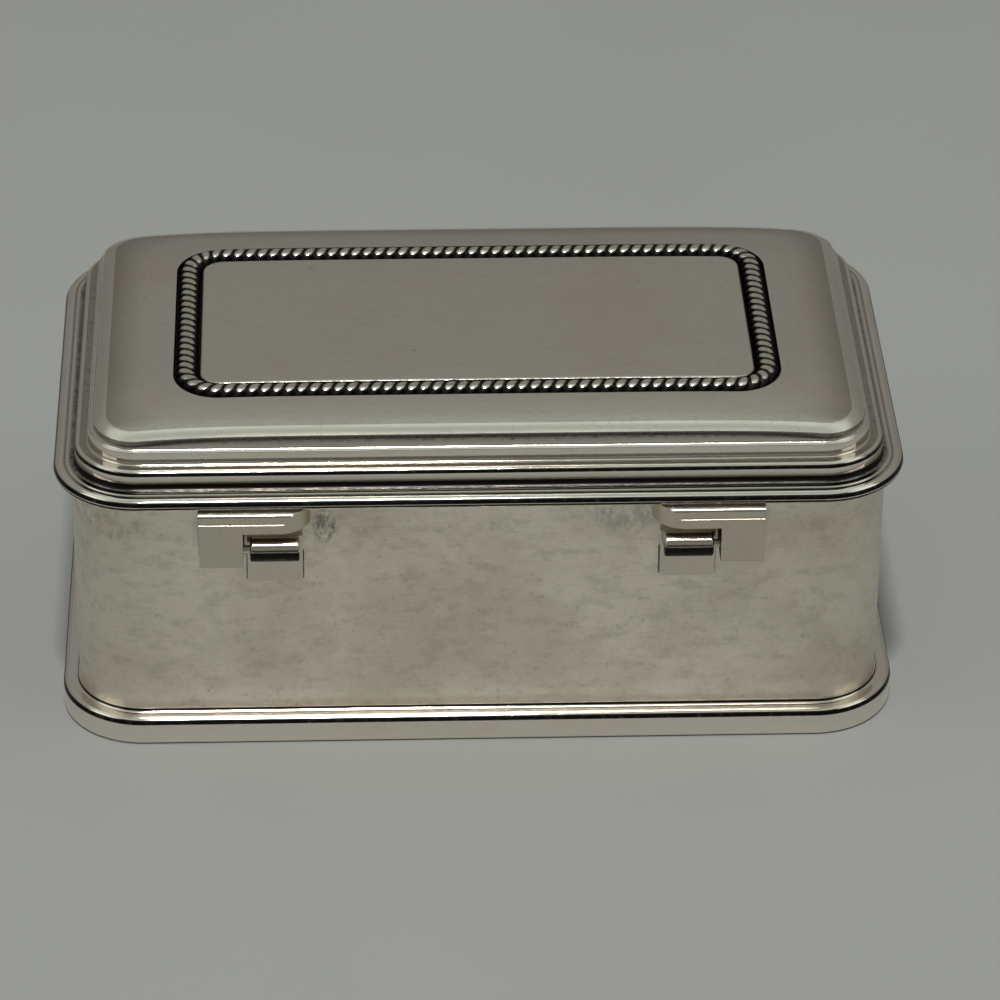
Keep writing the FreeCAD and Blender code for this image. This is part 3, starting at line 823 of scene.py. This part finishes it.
def capped(name, rings, values, lay_on=None):
    """Closed piece from a stack of rings, with a patch over its first ring and one under its last.
    lay_on gives the height of each patch's inner points, where they have a form of their own."""
    rings = np.array(rings)
    count = len(rings) * ROUND
    inner = (SHORT_SIDE_STEPS + CORNER_STEPS - 1) * (LONG_SIDE_STEPS + CORNER_STEPS - 1)
    points = np.zeros((count + 2 * inner, 3))
    points[:count] = rings.reshape(-1, 3)
    numbers = np.zeros(len(points))
    numbers[:count] = np.repeat(values, ROUND)
    round_way, across_way = ways(rings)
    quads = [grid_quads(len(rings), ROUND)]
    uv = [grid_uv(round_way, across_way[:-1])]
    for index, first in enumerate((0, count - ROUND)):
        free = count + index * inner
        table = patch_numbers(np.arange(first, first + ROUND), free)
        filled = fill_patch(table, points)
        if lay_on is not None:
            filled[1:-1, 1:-1, 2] = lay_on[index](filled[1:-1, 1:-1, 0], filled[1:-1, 1:-1, 1])
        points[free:free + inner] = filled[1:-1, 1:-1].reshape(-1, 3)
        corners = (table[:-1, :-1], table[:-1, 1:], table[1:, 1:], table[1:, :-1])
        patch = np.stack(corners, -1).reshape(-1, 4)
        quads.append(patch[:, ::-1] if index == 1 else patch)
        uv.append(points[quads[-1]][:, :, :2])
    points[:, 1] += PLAN_MIDDLE_Y
    return build_mesh(name, points, np.vstack(quads), np.vstack(uv), {"patina_and_painted_dark": numbers}, sharp_degrees=24.0)


def make_cover():
    rings, black = zip(*cover_rings())
    under = lambda x, y: crown(x, y) - COVER_THICKNESS
    cover = capped("cover", rings, black, (crown, under))
    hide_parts("lid_cover")
    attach(cover, "lid")
    return cover


cover = make_cover()
print("cover:", len(cover.data.polygons), "faces")

# %% [markdown]
# ## The rope
# Roped wire is two wires twisted together, so that ridges run slantwise round it. Seen as one surface
# it is a tube whose radius rises and falls with the place along the rope and the angle round it. Between
# two notches the radius follows half a circle, which makes a rounded ridge and a sharp notch. Wear has
# flattened the crest, so the notches are shallow there and deep at the flanks, and the black patina is
# left wherever no polishing cloth reached. The twist is left-handed, and a whole number of turns closes
# the ring.

# %% Rope
ROPE_RADIUS = 1.4
ROPE_PROUD = 0.45           # of the rope's crest above the cover
ROPE_NOTCH = 0.66           # depth of the notch between two ridges, at the flanks
ROPE_CREST_NOTCH = 0.34      # the same at the crest
ROPE_RIDGE_MM = 1.57        # distance between ridges along the rope
ROPE_STRANDS = 2
ROPE_STEPS_PER_RIDGE = 16
ROPE_STEPS_ROUND = 44
ROPE_WEAR = 0.13            # worn off the crest, which leaves small flats
ROPE_SEAT = 0.03            # of the rope's flat underside above the channel's floor


def rope_line(steps):
    """Evenly spaced points on the channel's middle line, with the level direction to their outside."""
    offset = CHANNEL_WIDTH / 2
    x, y = plan_points(CHANNEL_HALF_X - offset, CHANNEL_HALF_Y - offset, CHANNEL_CORNER - offset)
    ring = np.stack([np.r_[x[0], x[0][:1]], np.r_[y[0], y[0][:1]]], -1)
    length = np.r_[0, np.cumsum(np.linalg.norm(np.diff(ring, axis=0), axis=1))]
    angles = np.unwrap(np.arctan2(DIRECTIONS[:, 1], DIRECTIONS[:, 0]))
    angles = np.r_[angles, angles[0] + 2 * math.pi]
    place = np.linspace(0, length[-1], steps, endpoint=False)
    line = np.stack([np.interp(place, length, ring[:, k]) for k in (0, 1)], -1)
    turn = np.interp(place, length, angles)
    return line, np.stack([np.cos(turn), np.sin(turn)], -1), length[-1]


def make_rope():
    """Radius at angle a round the rope and place p along it: phase = p / ridge length - strands * a / 2
    pi, u = how far the phase is from the middle of its ridge, from -1 to 1, and radius = full radius -
    notch depth * (1 - sqrt(1 - u squared))."""
    _, _, length = rope_line(8)
    turns = round(length / (ROPE_RIDGE_MM * ROPE_STRANDS))
    steps = turns * ROPE_STRANDS * ROPE_STEPS_PER_RIDGE
    line, outward, _ = rope_line(steps)
    angle = np.linspace(0, 2 * math.pi, ROPE_STEPS_ROUND, endpoint=False)
    phase = np.arange(steps)[:, None] / ROPE_STEPS_PER_RIDGE - ROPE_STRANDS * angle / (2 * math.pi)
    u = 2 * (phase % 1.0) - 1
    depth = 1 - np.sqrt(np.clip(1 - u ** 2, 0, 1))
    flanks = np.clip((0.94 - np.sin(angle)) / 0.45, 0, 1)
    radius = ROPE_RADIUS - (ROPE_CREST_NOTCH + (ROPE_NOTCH - ROPE_CREST_NOTCH) * flanks) * depth
    across = radius * np.cos(angle)
    axis_height = COVER_TOP + ROPE_PROUD - ROPE_RADIUS
    height = np.clip(axis_height + radius * np.sin(angle), CHANNEL_FLOOR + ROPE_SEAT,
                     axis_height + ROPE_RADIUS - ROPE_WEAR)
    points = np.empty((steps, ROPE_STEPS_ROUND, 3))
    points[:, :, :2] = line[:, None] + across[:, :, None] * outward[:, None]
    points[:, :, 2] = height
    points[:, :, 1] += PLAN_MIDDLE_Y
    low = np.clip((0.80 - np.sin(angle)) / 0.14, 0, 1)
    black = np.clip(depth * (1.7 + 3.5 * flanks) + low, 0, 1)
    quads = grid_quads(steps, ROPE_STEPS_ROUND, wrap_rows=True)
    along = np.linspace(0, length, steps + 1)
    girth = np.linspace(0, 2 * math.pi * ROPE_RADIUS, ROPE_STEPS_ROUND + 1)
    rope = build_mesh("rope", points.reshape(-1, 3), quads, grid_uv(girth, along), {"patina_and_painted_dark": black},
                      sharp_degrees=80.0)
    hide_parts("rope_border")
    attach(rope, "lid")
    print("rope:", round(length, 1), "mm,", turns, "turns,", len(rope.data.polygons), "faces")
    return rope


rope = make_rope()

# %% [markdown]
# ## The lining
# Each piece of the lining is board with thin padding under velvet. The velvet is drawn over the edges, so
# a pad is fullest in its middle, falls towards its edge and turns over it in a round. The floor pad and
# the lid pad are stacks of rings like the cover's. A wall panel is a closed loop, thickness by height,
# carried along one side of the plan and half way into both corners, and rounded off at its two ends.

# %% Lining
PAD_EDGE = 0.7              # radius of a pad's turned-over edge
PAD_FALL = 0.55             # from the middle of a pad to its edge
PAD_POWER = 4
PAD_CLEARANCE = 0.08        # kept inside the solid's own faces
PANEL_INSET = 3.5           # of a wall panel's outer face
PANEL_THICKNESS = 1.1
PANEL_END = 0.6             # length over which a panel's end rounds off


def node_box(node):
    """Lower and upper corner of a solid's box in millimetres."""
    return (np.array(corner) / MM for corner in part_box(node))


def pad(name, node, body, faces_up):
    """Cushion from the solid's box. Its fall is drop * (distance from the middle / half size) ** power in
    both directions, and its edge is a half round between the two faces."""
    low, high = node_box(node)
    half_x = (high[0] - low[0]) / 2 - PAD_CLEARANCE
    half_y = (high[1] - low[1]) / 2 - PAD_CLEARANCE
    low_z, high_z = low[2] + PAD_CLEARANCE / 2, high[2] - PAD_CLEARANCE / 2
    inset = HALF_LENGTH - half_x

    def fall(x, y):
        return PAD_FALL * (np.abs(x) / half_x) ** PAD_POWER + PAD_FALL * (np.abs(y) / half_y) ** PAD_POWER

    def under_cover(x, y):
        return np.minimum(high_z, crown(x, y) - COVER_THICKNESS - 3 * PAD_CLEARANCE)

    if faces_up:
        upper, lower = (lambda x, y: high_z - fall(x, y)), (lambda x, y: np.full_like(x, low_z))
    else:
        upper, lower = under_cover, (lambda x, y: low_z + fall(x, y))
    rings = []
    for share in np.linspace(0.0, 1.0, 15):
        turn = math.pi * share
        ring = plan_ring(inset + PAD_EDGE * (1 - math.sin(turn)))
        top, bottom = upper(*ring.T), lower(*ring.T)
        rings.append(with_height(ring, (top + bottom) / 2 + (top - bottom) / 2 * math.cos(turn)))
    inner = [plan_ring(inset + PAD_EDGE + step) for step in (6.0, 3.0, 1.2, 0.5)]
    rings = ([with_height(ring, upper(*ring.T)) for ring in inner] + rings
             + [with_height(ring, lower(*ring.T)) for ring in inner[::-1]])
    piece = capped(name, rings, np.zeros(len(rings)), (upper, lower))
    finish_pad(piece, node, body)
    return piece


def panel(name, node, corner):
    """Padded panel along the side that starts at one corner of the template."""
    low, high = node_box(node)
    starts = [0, LONG_SIDE_STEPS + CORNER_STEPS, LONG_SIDE_STEPS + SHORT_SIDE_STEPS + 2 * CORNER_STEPS,
              2 * LONG_SIDE_STEPS + SHORT_SIDE_STEPS + 3 * CORNER_STEPS, ROUND]
    index = np.arange(starts[corner], starts[corner + 1] + 1) % ROUND
    outer = plan_ring(PANEL_INSET)[index]
    away = DIRECTIONS[index]
    length = np.r_[0, np.cumsum(np.linalg.norm(np.diff(outer, axis=0), axis=1))]
    to_end = np.minimum(length, length[-1] - length)
    places = np.r_[0.12, 0.16, 0.24, 0.36, 0.5, 0.72, 1.0, length[6:-6:2], length[-1] - np.array(
        [1.0, 0.72, 0.5, 0.36, 0.24, 0.16, 0.12])]
    outer = np.stack([np.interp(places, length, outer[:, k]) for k in (0, 1)], -1)
    away = np.stack([np.interp(places, length, away[:, k]) for k in (0, 1)], -1)
    to_end = np.interp(places, length, to_end) - 0.12
    full = np.sqrt(np.clip(1 - (1 - np.clip(to_end / PANEL_END, 0, 1)) ** 2, 0.02, 1))
    loop = np.linspace(0, 2 * math.pi, 72, endpoint=False)
    middle_z = (low[2] + high[2]) / 2
    half_z = (high[2] - low[2]) / 2 - PAD_CLEARANCE
    z = np.sign(np.sin(loop)) * np.abs(np.sin(loop)) ** 0.12
    depth = np.sign(np.cos(loop)) * np.abs(np.cos(loop)) ** 0.45
    swell = np.where(depth > 0, 1.0 - 0.18 * np.abs(z) ** 4, 1.0)
    half_thick = PANEL_THICKNESS / 2 - PAD_CLEARANCE / 2
    inward = PANEL_THICKNESS / 2 + half_thick * depth * swell * full[:, None]
    points = np.empty((len(places), len(loop), 3))
    points[:, :, :2] = outer[:, None] - inward[:, :, None] * away[:, None]
    points[:, :, 2] = middle_z + z * (half_z - 0.35 * (1 - full[:, None]))
    points[:, :, 1] += PLAN_MIDDLE_Y
    count = len(loop)
    quads = [grid_quads(len(places), count)]
    rung = np.arange(count // 2 - 1)
    ladder = np.stack([rung, rung + 1, count - 2 - rung, count - 1 - rung], -1)
    quads += [ladder, ladder[:, ::-1] + (len(places) - 1) * count]
    quads = np.vstack(quads)
    flat = points.reshape(-1, 3)
    uv = np.stack([flat[quads][:, :, 0] + flat[quads][:, :, 1], flat[quads][:, :, 2]], -1)
    piece = build_mesh(name, flat, quads, uv, {"patina_and_painted_dark": np.zeros(len(flat))}, sharp_degrees=180.0)
    finish_pad(piece, node, "body")
    return piece


def finish_pad(piece, node, body):
    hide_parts(node)
    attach(piece, body)


lining = [pad("floor_cushion", "floor_pad", "body", True), pad("lid_cushion", "lid_pad", "lid", False)]
lining += [panel(side + "_panel", "lining_" + side, corner)
           for corner, side in enumerate(("back", "left", "front", "right"))]
print("lining faces:", [len(piece.data.polygons) for piece in lining])

# %% [markdown]
# ## Finishes of the metal
# The plate is silver, a warm grey that worn polishing has made satin. Three things show on it: a cloudy
# tarnish in patches a few centimetres wide, tiny pits all over, and fine lines left by polishing along
# the mouldings, which spread a lamp's reflection across the moulding and not along it. In the hollows
# the black patina was left on purpose. Black and darkened plate are also painted as shade and dark
# reflection: on the lower flanks of the beads, on the cover's side, on the hinges' end faces and under
# their barrels.

# %% Silver
SILVER = (0.87, 0.82, 0.735)
TARNISH = (0.70, 0.62, 0.50)
# Black of the patina in the hollows, also used for painted shade and dark reflection.
PATINA_AND_PAINTED_BLACK = (0.018, 0.017, 0.016)


def attribute(tree, name):
    node = tree.nodes.new("ShaderNodeAttribute")
    node.attribute_name = name
    return node.outputs["Fac"]


def way_noise(tree, scale_along, scale_across, detail=3.0):
    """Noise drawn out along the moulding, on the UV map that runs round the box."""
    uv = tree.nodes.new("ShaderNodeUVMap")
    uv.uv_map = "way_round"
    mapping = tree.nodes.new("ShaderNodeMapping")
    mapping.inputs["Scale"].default_value = (scale_along, scale_across, 1.0)
    tree.links.new(uv.outputs["UV"], mapping.inputs["Vector"])
    node = add_node(tree, "ShaderNodeTexNoise", Scale=1.0, Detail=detail, Roughness=0.6,
                    Vector=mapping.outputs["Vector"])
    return node.outputs["Fac"]


def outlines(tree, boxes, width):
    """1 along the outside of upright rectangles on the back wall, 0 elsewhere. A box is the middle and
    half size of |x|, then of z, in metres. The distance outside is max(|x - mx| - hx, |z - mz| - hz)."""
    parts = add_node(tree, "ShaderNodeSeparateXYZ", Vector=object_place(tree))
    across = calculate(tree, "ABSOLUTE", parts.outputs["X"], 0.0)
    total = 0.0
    for middle_x, half_x, middle_z, half_z in boxes:
        out_x = calculate(tree, "SUBTRACT", calculate(tree, "ABSOLUTE", calculate(
            tree, "SUBTRACT", across, middle_x), 0.0), half_x)
        out_z = calculate(tree, "SUBTRACT", calculate(tree, "ABSOLUTE", calculate(
            tree, "SUBTRACT", parts.outputs["Z"], middle_z), 0.0), half_z)
        distance = calculate(tree, "MAXIMUM", out_x, out_z)
        near = ramp(tree, distance, 0.0, width, 1.0, 0.0)
        total = calculate(tree, "MAXIMUM", near, total)
    behind = ramp(tree, parts.outputs["Y"], 0.0, 0.001)
    return calculate(tree, "MULTIPLY", total, behind)


def silver(name, roughness, uneven, tarnish_share, pit_depth, line_depth, spread, carried_piece=True,
           brushing=0.0, mottle=0.0, base=SILVER, dirt_and_shade=None, dirt_and_shade_strength=1.0, stains_and_dark_ends=False):
    """Silver plate. roughness and uneven are its mean and how far it varies, tarnish_share is how much
    tarnish the worst patches have, pit_depth and line_depth are in metres, spread is how far the
    polishing lines draw a reflection out, and brushing is how strongly they show in the colour. mottle is
    the strength of a grain of one to three millimetres. A function of the tree, if given, adds a share of
    black times its strength: dirt at joints, and painted shade on faces that lie in shade. If asked, stains
    are added and both ends of the back wall are made darker."""
    material, tree, shader = new_material(name)
    shader.inputs["Metallic"].default_value = 1.0
    cloudy = noise(tree, 38.0, detail=6.0, roughness=0.65)
    fine = noise(tree, 1100.0, detail=5.0, roughness=0.7)
    stained = calculate(tree, "MULTIPLY", ramp(tree, cloudy, 0.40, 0.68), tarnish_share)
    plate = mix_colour(tree, stained, base, TARNISH)
    speckle = calculate(tree, "MULTIPLY", ramp(tree, fine, 0.56, 0.80), tarnish_share)
    plate = mix_colour(tree, speckle, plate, tuple(v * 0.5 for v in TARNISH))
    spots = calculate(tree, "MULTIPLY", ramp(tree, noise(tree, 230.0, detail=3.0), 0.72, 0.80), tarnish_share * 1.4)
    plate = mix_colour(tree, spots, plate, tuple(v * 0.35 for v in TARNISH))
    rough = ramp(tree, cloudy, 0.3, 0.7, roughness - uneven, roughness + uneven)
    relief = bump(tree, ramp(tree, fine, 0.35, 0.75), pit_depth)
    if brushing:
        brushed = way_noise(tree, 260.0, 3600.0, detail=5.0)
        plate = mix_colour(tree, calculate(tree, "MULTIPLY", ramp(tree, brushed, 0.42, 0.74), brushing),
                           plate, tuple(v * 0.45 for v in TARNISH))
    if mottle:
        grain = noise(tree, 520.0, detail=5.0, roughness=0.72, stretch=(0.55, 1.0, 1.0))
        plate = mix_colour(tree, calculate(tree, "MULTIPLY", ramp(tree, grain, 0.46, 0.68), mottle),
                           plate, tuple(v * 0.6 for v in TARNISH))
        greenish = noise(tree, 120.0, detail=4.0, roughness=0.6)
        plate = mix_colour(tree, calculate(tree, "MULTIPLY", ramp(tree, greenish, 0.50, 0.66), mottle * 0.6),
                           plate, (0.60, 0.60, 0.48))
    if carried_piece:
        lines = way_noise(tree, 30.0, 9000.0)
        relief = bump(tree, lines, line_depth, under=relief)
        # The patina attribute holds black patina in the hollows and painted dark reflection and shade on the beads'
        # flanks and the cover's side. It darkens the plate, and where it is strong it turns it black.
        black = attribute(tree, "patina_and_painted_dark")
        darkening = calculate(tree, "MULTIPLY", ramp(tree, black, 0.0, 0.5), 0.75)
        plate = mix_colour(tree, darkening, plate, tuple(v * 0.42 for v in TARNISH))
        ragged = calculate(tree, "ADD", black, calculate(tree, "MULTIPLY", fine, 0.45))
        cover_share = ramp(tree, ragged, 0.58, 0.84)
        tangent = tree.nodes.new("ShaderNodeTangent")
        tangent.direction_type = "UV_MAP"
        tangent.uv_map = "way_round"
        tree.links.new(tangent.outputs["Tangent"], shader.inputs["Tangent"])
        shader.inputs["Anisotropic"].default_value = spread
        shader.inputs["Anisotropic Rotation"].default_value = 0.25
    if dirt_and_shade is not None:
        ragged = calculate(tree, "ADD", dirt_and_shade(tree), calculate(tree, "MULTIPLY", fine, 0.45))
        dirt_and_shade_share = calculate(tree, "MULTIPLY", ramp(tree, ragged, 0.55, 1.0), dirt_and_shade_strength)
        cover_share = calculate(tree, "MAXIMUM", cover_share, dirt_and_shade_share) if carried_piece else dirt_and_shade_share
    if carried_piece or dirt_and_shade is not None:
        plate = mix_colour(tree, cover_share, plate, PATINA_AND_PAINTED_BLACK)
        rough = calculate(tree, "ADD", rough, calculate(tree, "MULTIPLY", cover_share, 0.25))
    if stains_and_dark_ends:
        parts = add_node(tree, "ShaderNodeSeparateXYZ", Vector=object_place(tree))
        # Darker towards both ends of the wall, by up to 0.30.
        to_ends = ramp(tree, calculate(tree, "ABSOLUTE", parts.outputs["X"], 0.0), 0.028, 0.053, 0.0, 0.30)
        plate = mix_colour(tree, to_ends, plate, tuple(v * 0.5 for v in TARNISH))
        for centre, size, colour, share in STAINS:
            plate = mix_colour(tree, stain(tree, centre, size, share), plate, colour)
    wire(tree, plate, shader, "Base Color")
    wire(tree, rough, shader, "Roughness")
    wire(tree, relief, shader, "Normal")
    return material


STAINS = (      # middle and size in x and z, colour and share: solder by one hinge, tarnish by the other
    ((0.0202, 0.0322), (0.0022, 0.0030), (0.10, 0.09, 0.07), 0.7),
    ((-0.0185, 0.0335), (0.0052, 0.0032), (0.30, 0.34, 0.32), 0.45),
    ((0.0475, 0.0330), (0.0060, 0.0036), (0.30, 0.25, 0.18), 0.3),
)
KNUCKLE = (0.03340, 0.00280, 0.03100, 0.00275)      # middle and half of |x|, then of z
LEAF_PLATE = (0.02655, 0.00355, 0.02645, 0.00200)
BRACKET = (0.02960, 0.00660, 0.03490, 0.00120)


# Dark lines round the hinge leaves on the wall: partly dirt in the joints, partly painted shade where the leaves
# meet the wall.
def hinge_joint_dirt_and_shade(tree):
    return outlines(tree, (KNUCKLE, LEAF_PLATE, BRACKET), 0.00035)


def painted_shade_under_barrels(tree):
    """Painted shade and dark reflection: black on the lower half of the rolled knuckles, below their middle
    and clear of the plate.
    """
    parts = add_node(tree, "ShaderNodeSeparateXYZ", Vector=object_place(tree))
    low = ramp(tree, parts.outputs["Z"], 0.0302, 0.0308, 1.0, 0.0)
    return calculate(tree, "MULTIPLY", low, ramp(tree, parts.outputs["Y"], 0.0307, 0.0311))


def painted_shade_end_faces(tree):
    """Painted shade: black where a face looks along the hinge's own line, towards +X or -X, below 33 mm."""
    normal = tree.nodes.new("ShaderNodeNewGeometry").outputs["Normal"]
    parts = add_node(tree, "ShaderNodeSeparateXYZ", Vector=normal)
    sideways = ramp(tree, calculate(tree, "ABSOLUTE", parts.outputs["X"], 0.0), 0.55, 0.85)
    place = add_node(tree, "ShaderNodeSeparateXYZ", Vector=object_place(tree))
    return calculate(tree, "MULTIPLY", sideways, ramp(tree, place.outputs["Z"], 0.0330, 0.0336, 1.0, 0.0))


def stain(tree, centre, size, colour_share):
    """Share of a stain on the back wall: 1 - distance in an ellipse of |x| and z, broken up by noise."""
    parts = add_node(tree, "ShaderNodeSeparateXYZ", Vector=object_place(tree))
    out_x = calculate(tree, "DIVIDE", calculate(tree, "SUBTRACT", parts.outputs["X"], centre[0]), size[0])
    out_z = calculate(tree, "DIVIDE", calculate(tree, "SUBTRACT", parts.outputs["Z"], centre[1]), size[1])
    squares = calculate(tree, "ADD", calculate(tree, "MULTIPLY", out_x, out_x),
                        calculate(tree, "MULTIPLY", out_z, out_z))
    within = calculate(tree, "SUBTRACT", 1.0, squares)
    broken = calculate(tree, "MULTIPLY", ramp(tree, within, 0.0, 0.7), ramp(tree, noise(
        tree, 900.0, detail=4.0, roughness=0.7, stretch=(1.0, 1.0, 0.5)), 0.42, 0.60))
    behind = ramp(tree, parts.outputs["Y"], 0.0, 0.001)
    return calculate(tree, "MULTIPLY", calculate(tree, "MULTIPLY", broken, behind), colour_share)


def dress(piece, material):
    """Every slot of the piece gets the material."""
    slots = max(1, len(piece.data.materials))
    piece.data.materials.clear()
    for _ in range(slots):
        piece.data.materials.append(material)


satin_wall = silver("satin_wall", 0.34, 0.05, 0.62, 0.000026, 0.000003, 0.3, brushing=0.10, mottle=0.30,
                    base=(0.99, 0.925, 0.805), dirt_and_shade=hinge_joint_dirt_and_shade, dirt_and_shade_strength=0.75, stains_and_dark_ends=True)
satin_cover = silver("satin_cover", 0.19, 0.03, 0.40, 0.000005, 0.000002, 0.2, brushing=0.12)
polished = silver("polished_moulding", 0.055, 0.012, 0.25, 0.000002, 0.000001, 0.35)
rope_finish = silver("rope_silver", 0.26, 0.05, 0.3, 0.000006, 0.0, 0.0, base=(0.82, 0.78, 0.69))
hinge_finish = silver("hinge_silver", 0.26, 0.05, 0.5, 0.000008, 0.0, 0.0, carried_piece=False,
                      base=(0.64, 0.59, 0.50), dirt_and_shade=painted_shade_end_faces)
knuckle_finish = silver("knuckle_silver", 0.14, 0.04, 0.5, 0.000005, 0.0, 0.0, carried_piece=False,
                        base=(0.72, 0.67, 0.58), dirt_and_shade=painted_shade_under_barrels)
dress(wall, satin_wall)
dress(cover, satin_cover)
for piece in (base, rim, lid_steps):
    dress(piece, polished)
dress(rope, rope_finish)
for node_name in ("bezel", "bottom_plate", "hinge_lid_leaf_left", "hinge_lid_leaf_right",
                  "hinge_pin_left", "hinge_pin_right"):
    dress(nodes[node_name], hinge_finish)
for node_name in ("hinge_body_leaf_left", "hinge_body_leaf_right"):
    dress(nodes[node_name], knuckle_finish)

# %% [markdown]
# ## Velvet
# Short pile looks darkest where the eye looks straight down into it and lighter towards the edge of a
# form, which is what the shader's sheen does. A soft cloudiness stands for pile that lies one way or
# another, and a fine grain for the pile itself.

# %% Velvet
VELVET = (0.12, 0.03, 0.05)


def velvet():
    material, tree, shader = new_material("wine_velvet")
    lying = noise(tree, 120.0, detail=4.0)
    darker = tuple(v * 0.6 for v in VELVET)
    wire(tree, mix_colour(tree, ramp(tree, lying, 0.35, 0.65), darker, VELVET), shader, "Base Color")
    wire(tree, bump(tree, noise(tree, 4200.0, detail=2.0), 0.0001), shader, "Normal")
    shader.inputs["Roughness"].default_value = 0.95
    shader.inputs["Specular IOR Level"].default_value = 0.1
    shader.inputs["Sheen Weight"].default_value = 0.5
    shader.inputs["Sheen Roughness"].default_value = 0.35
    shader.inputs["Sheen Tint"].default_value = (0.55, 0.2, 0.25, 1.0)
    return material


wine_velvet = velvet()
for piece in lining:
    dress(piece, wine_velvet)

# %% Finish

bpy.context.view_layer.update()
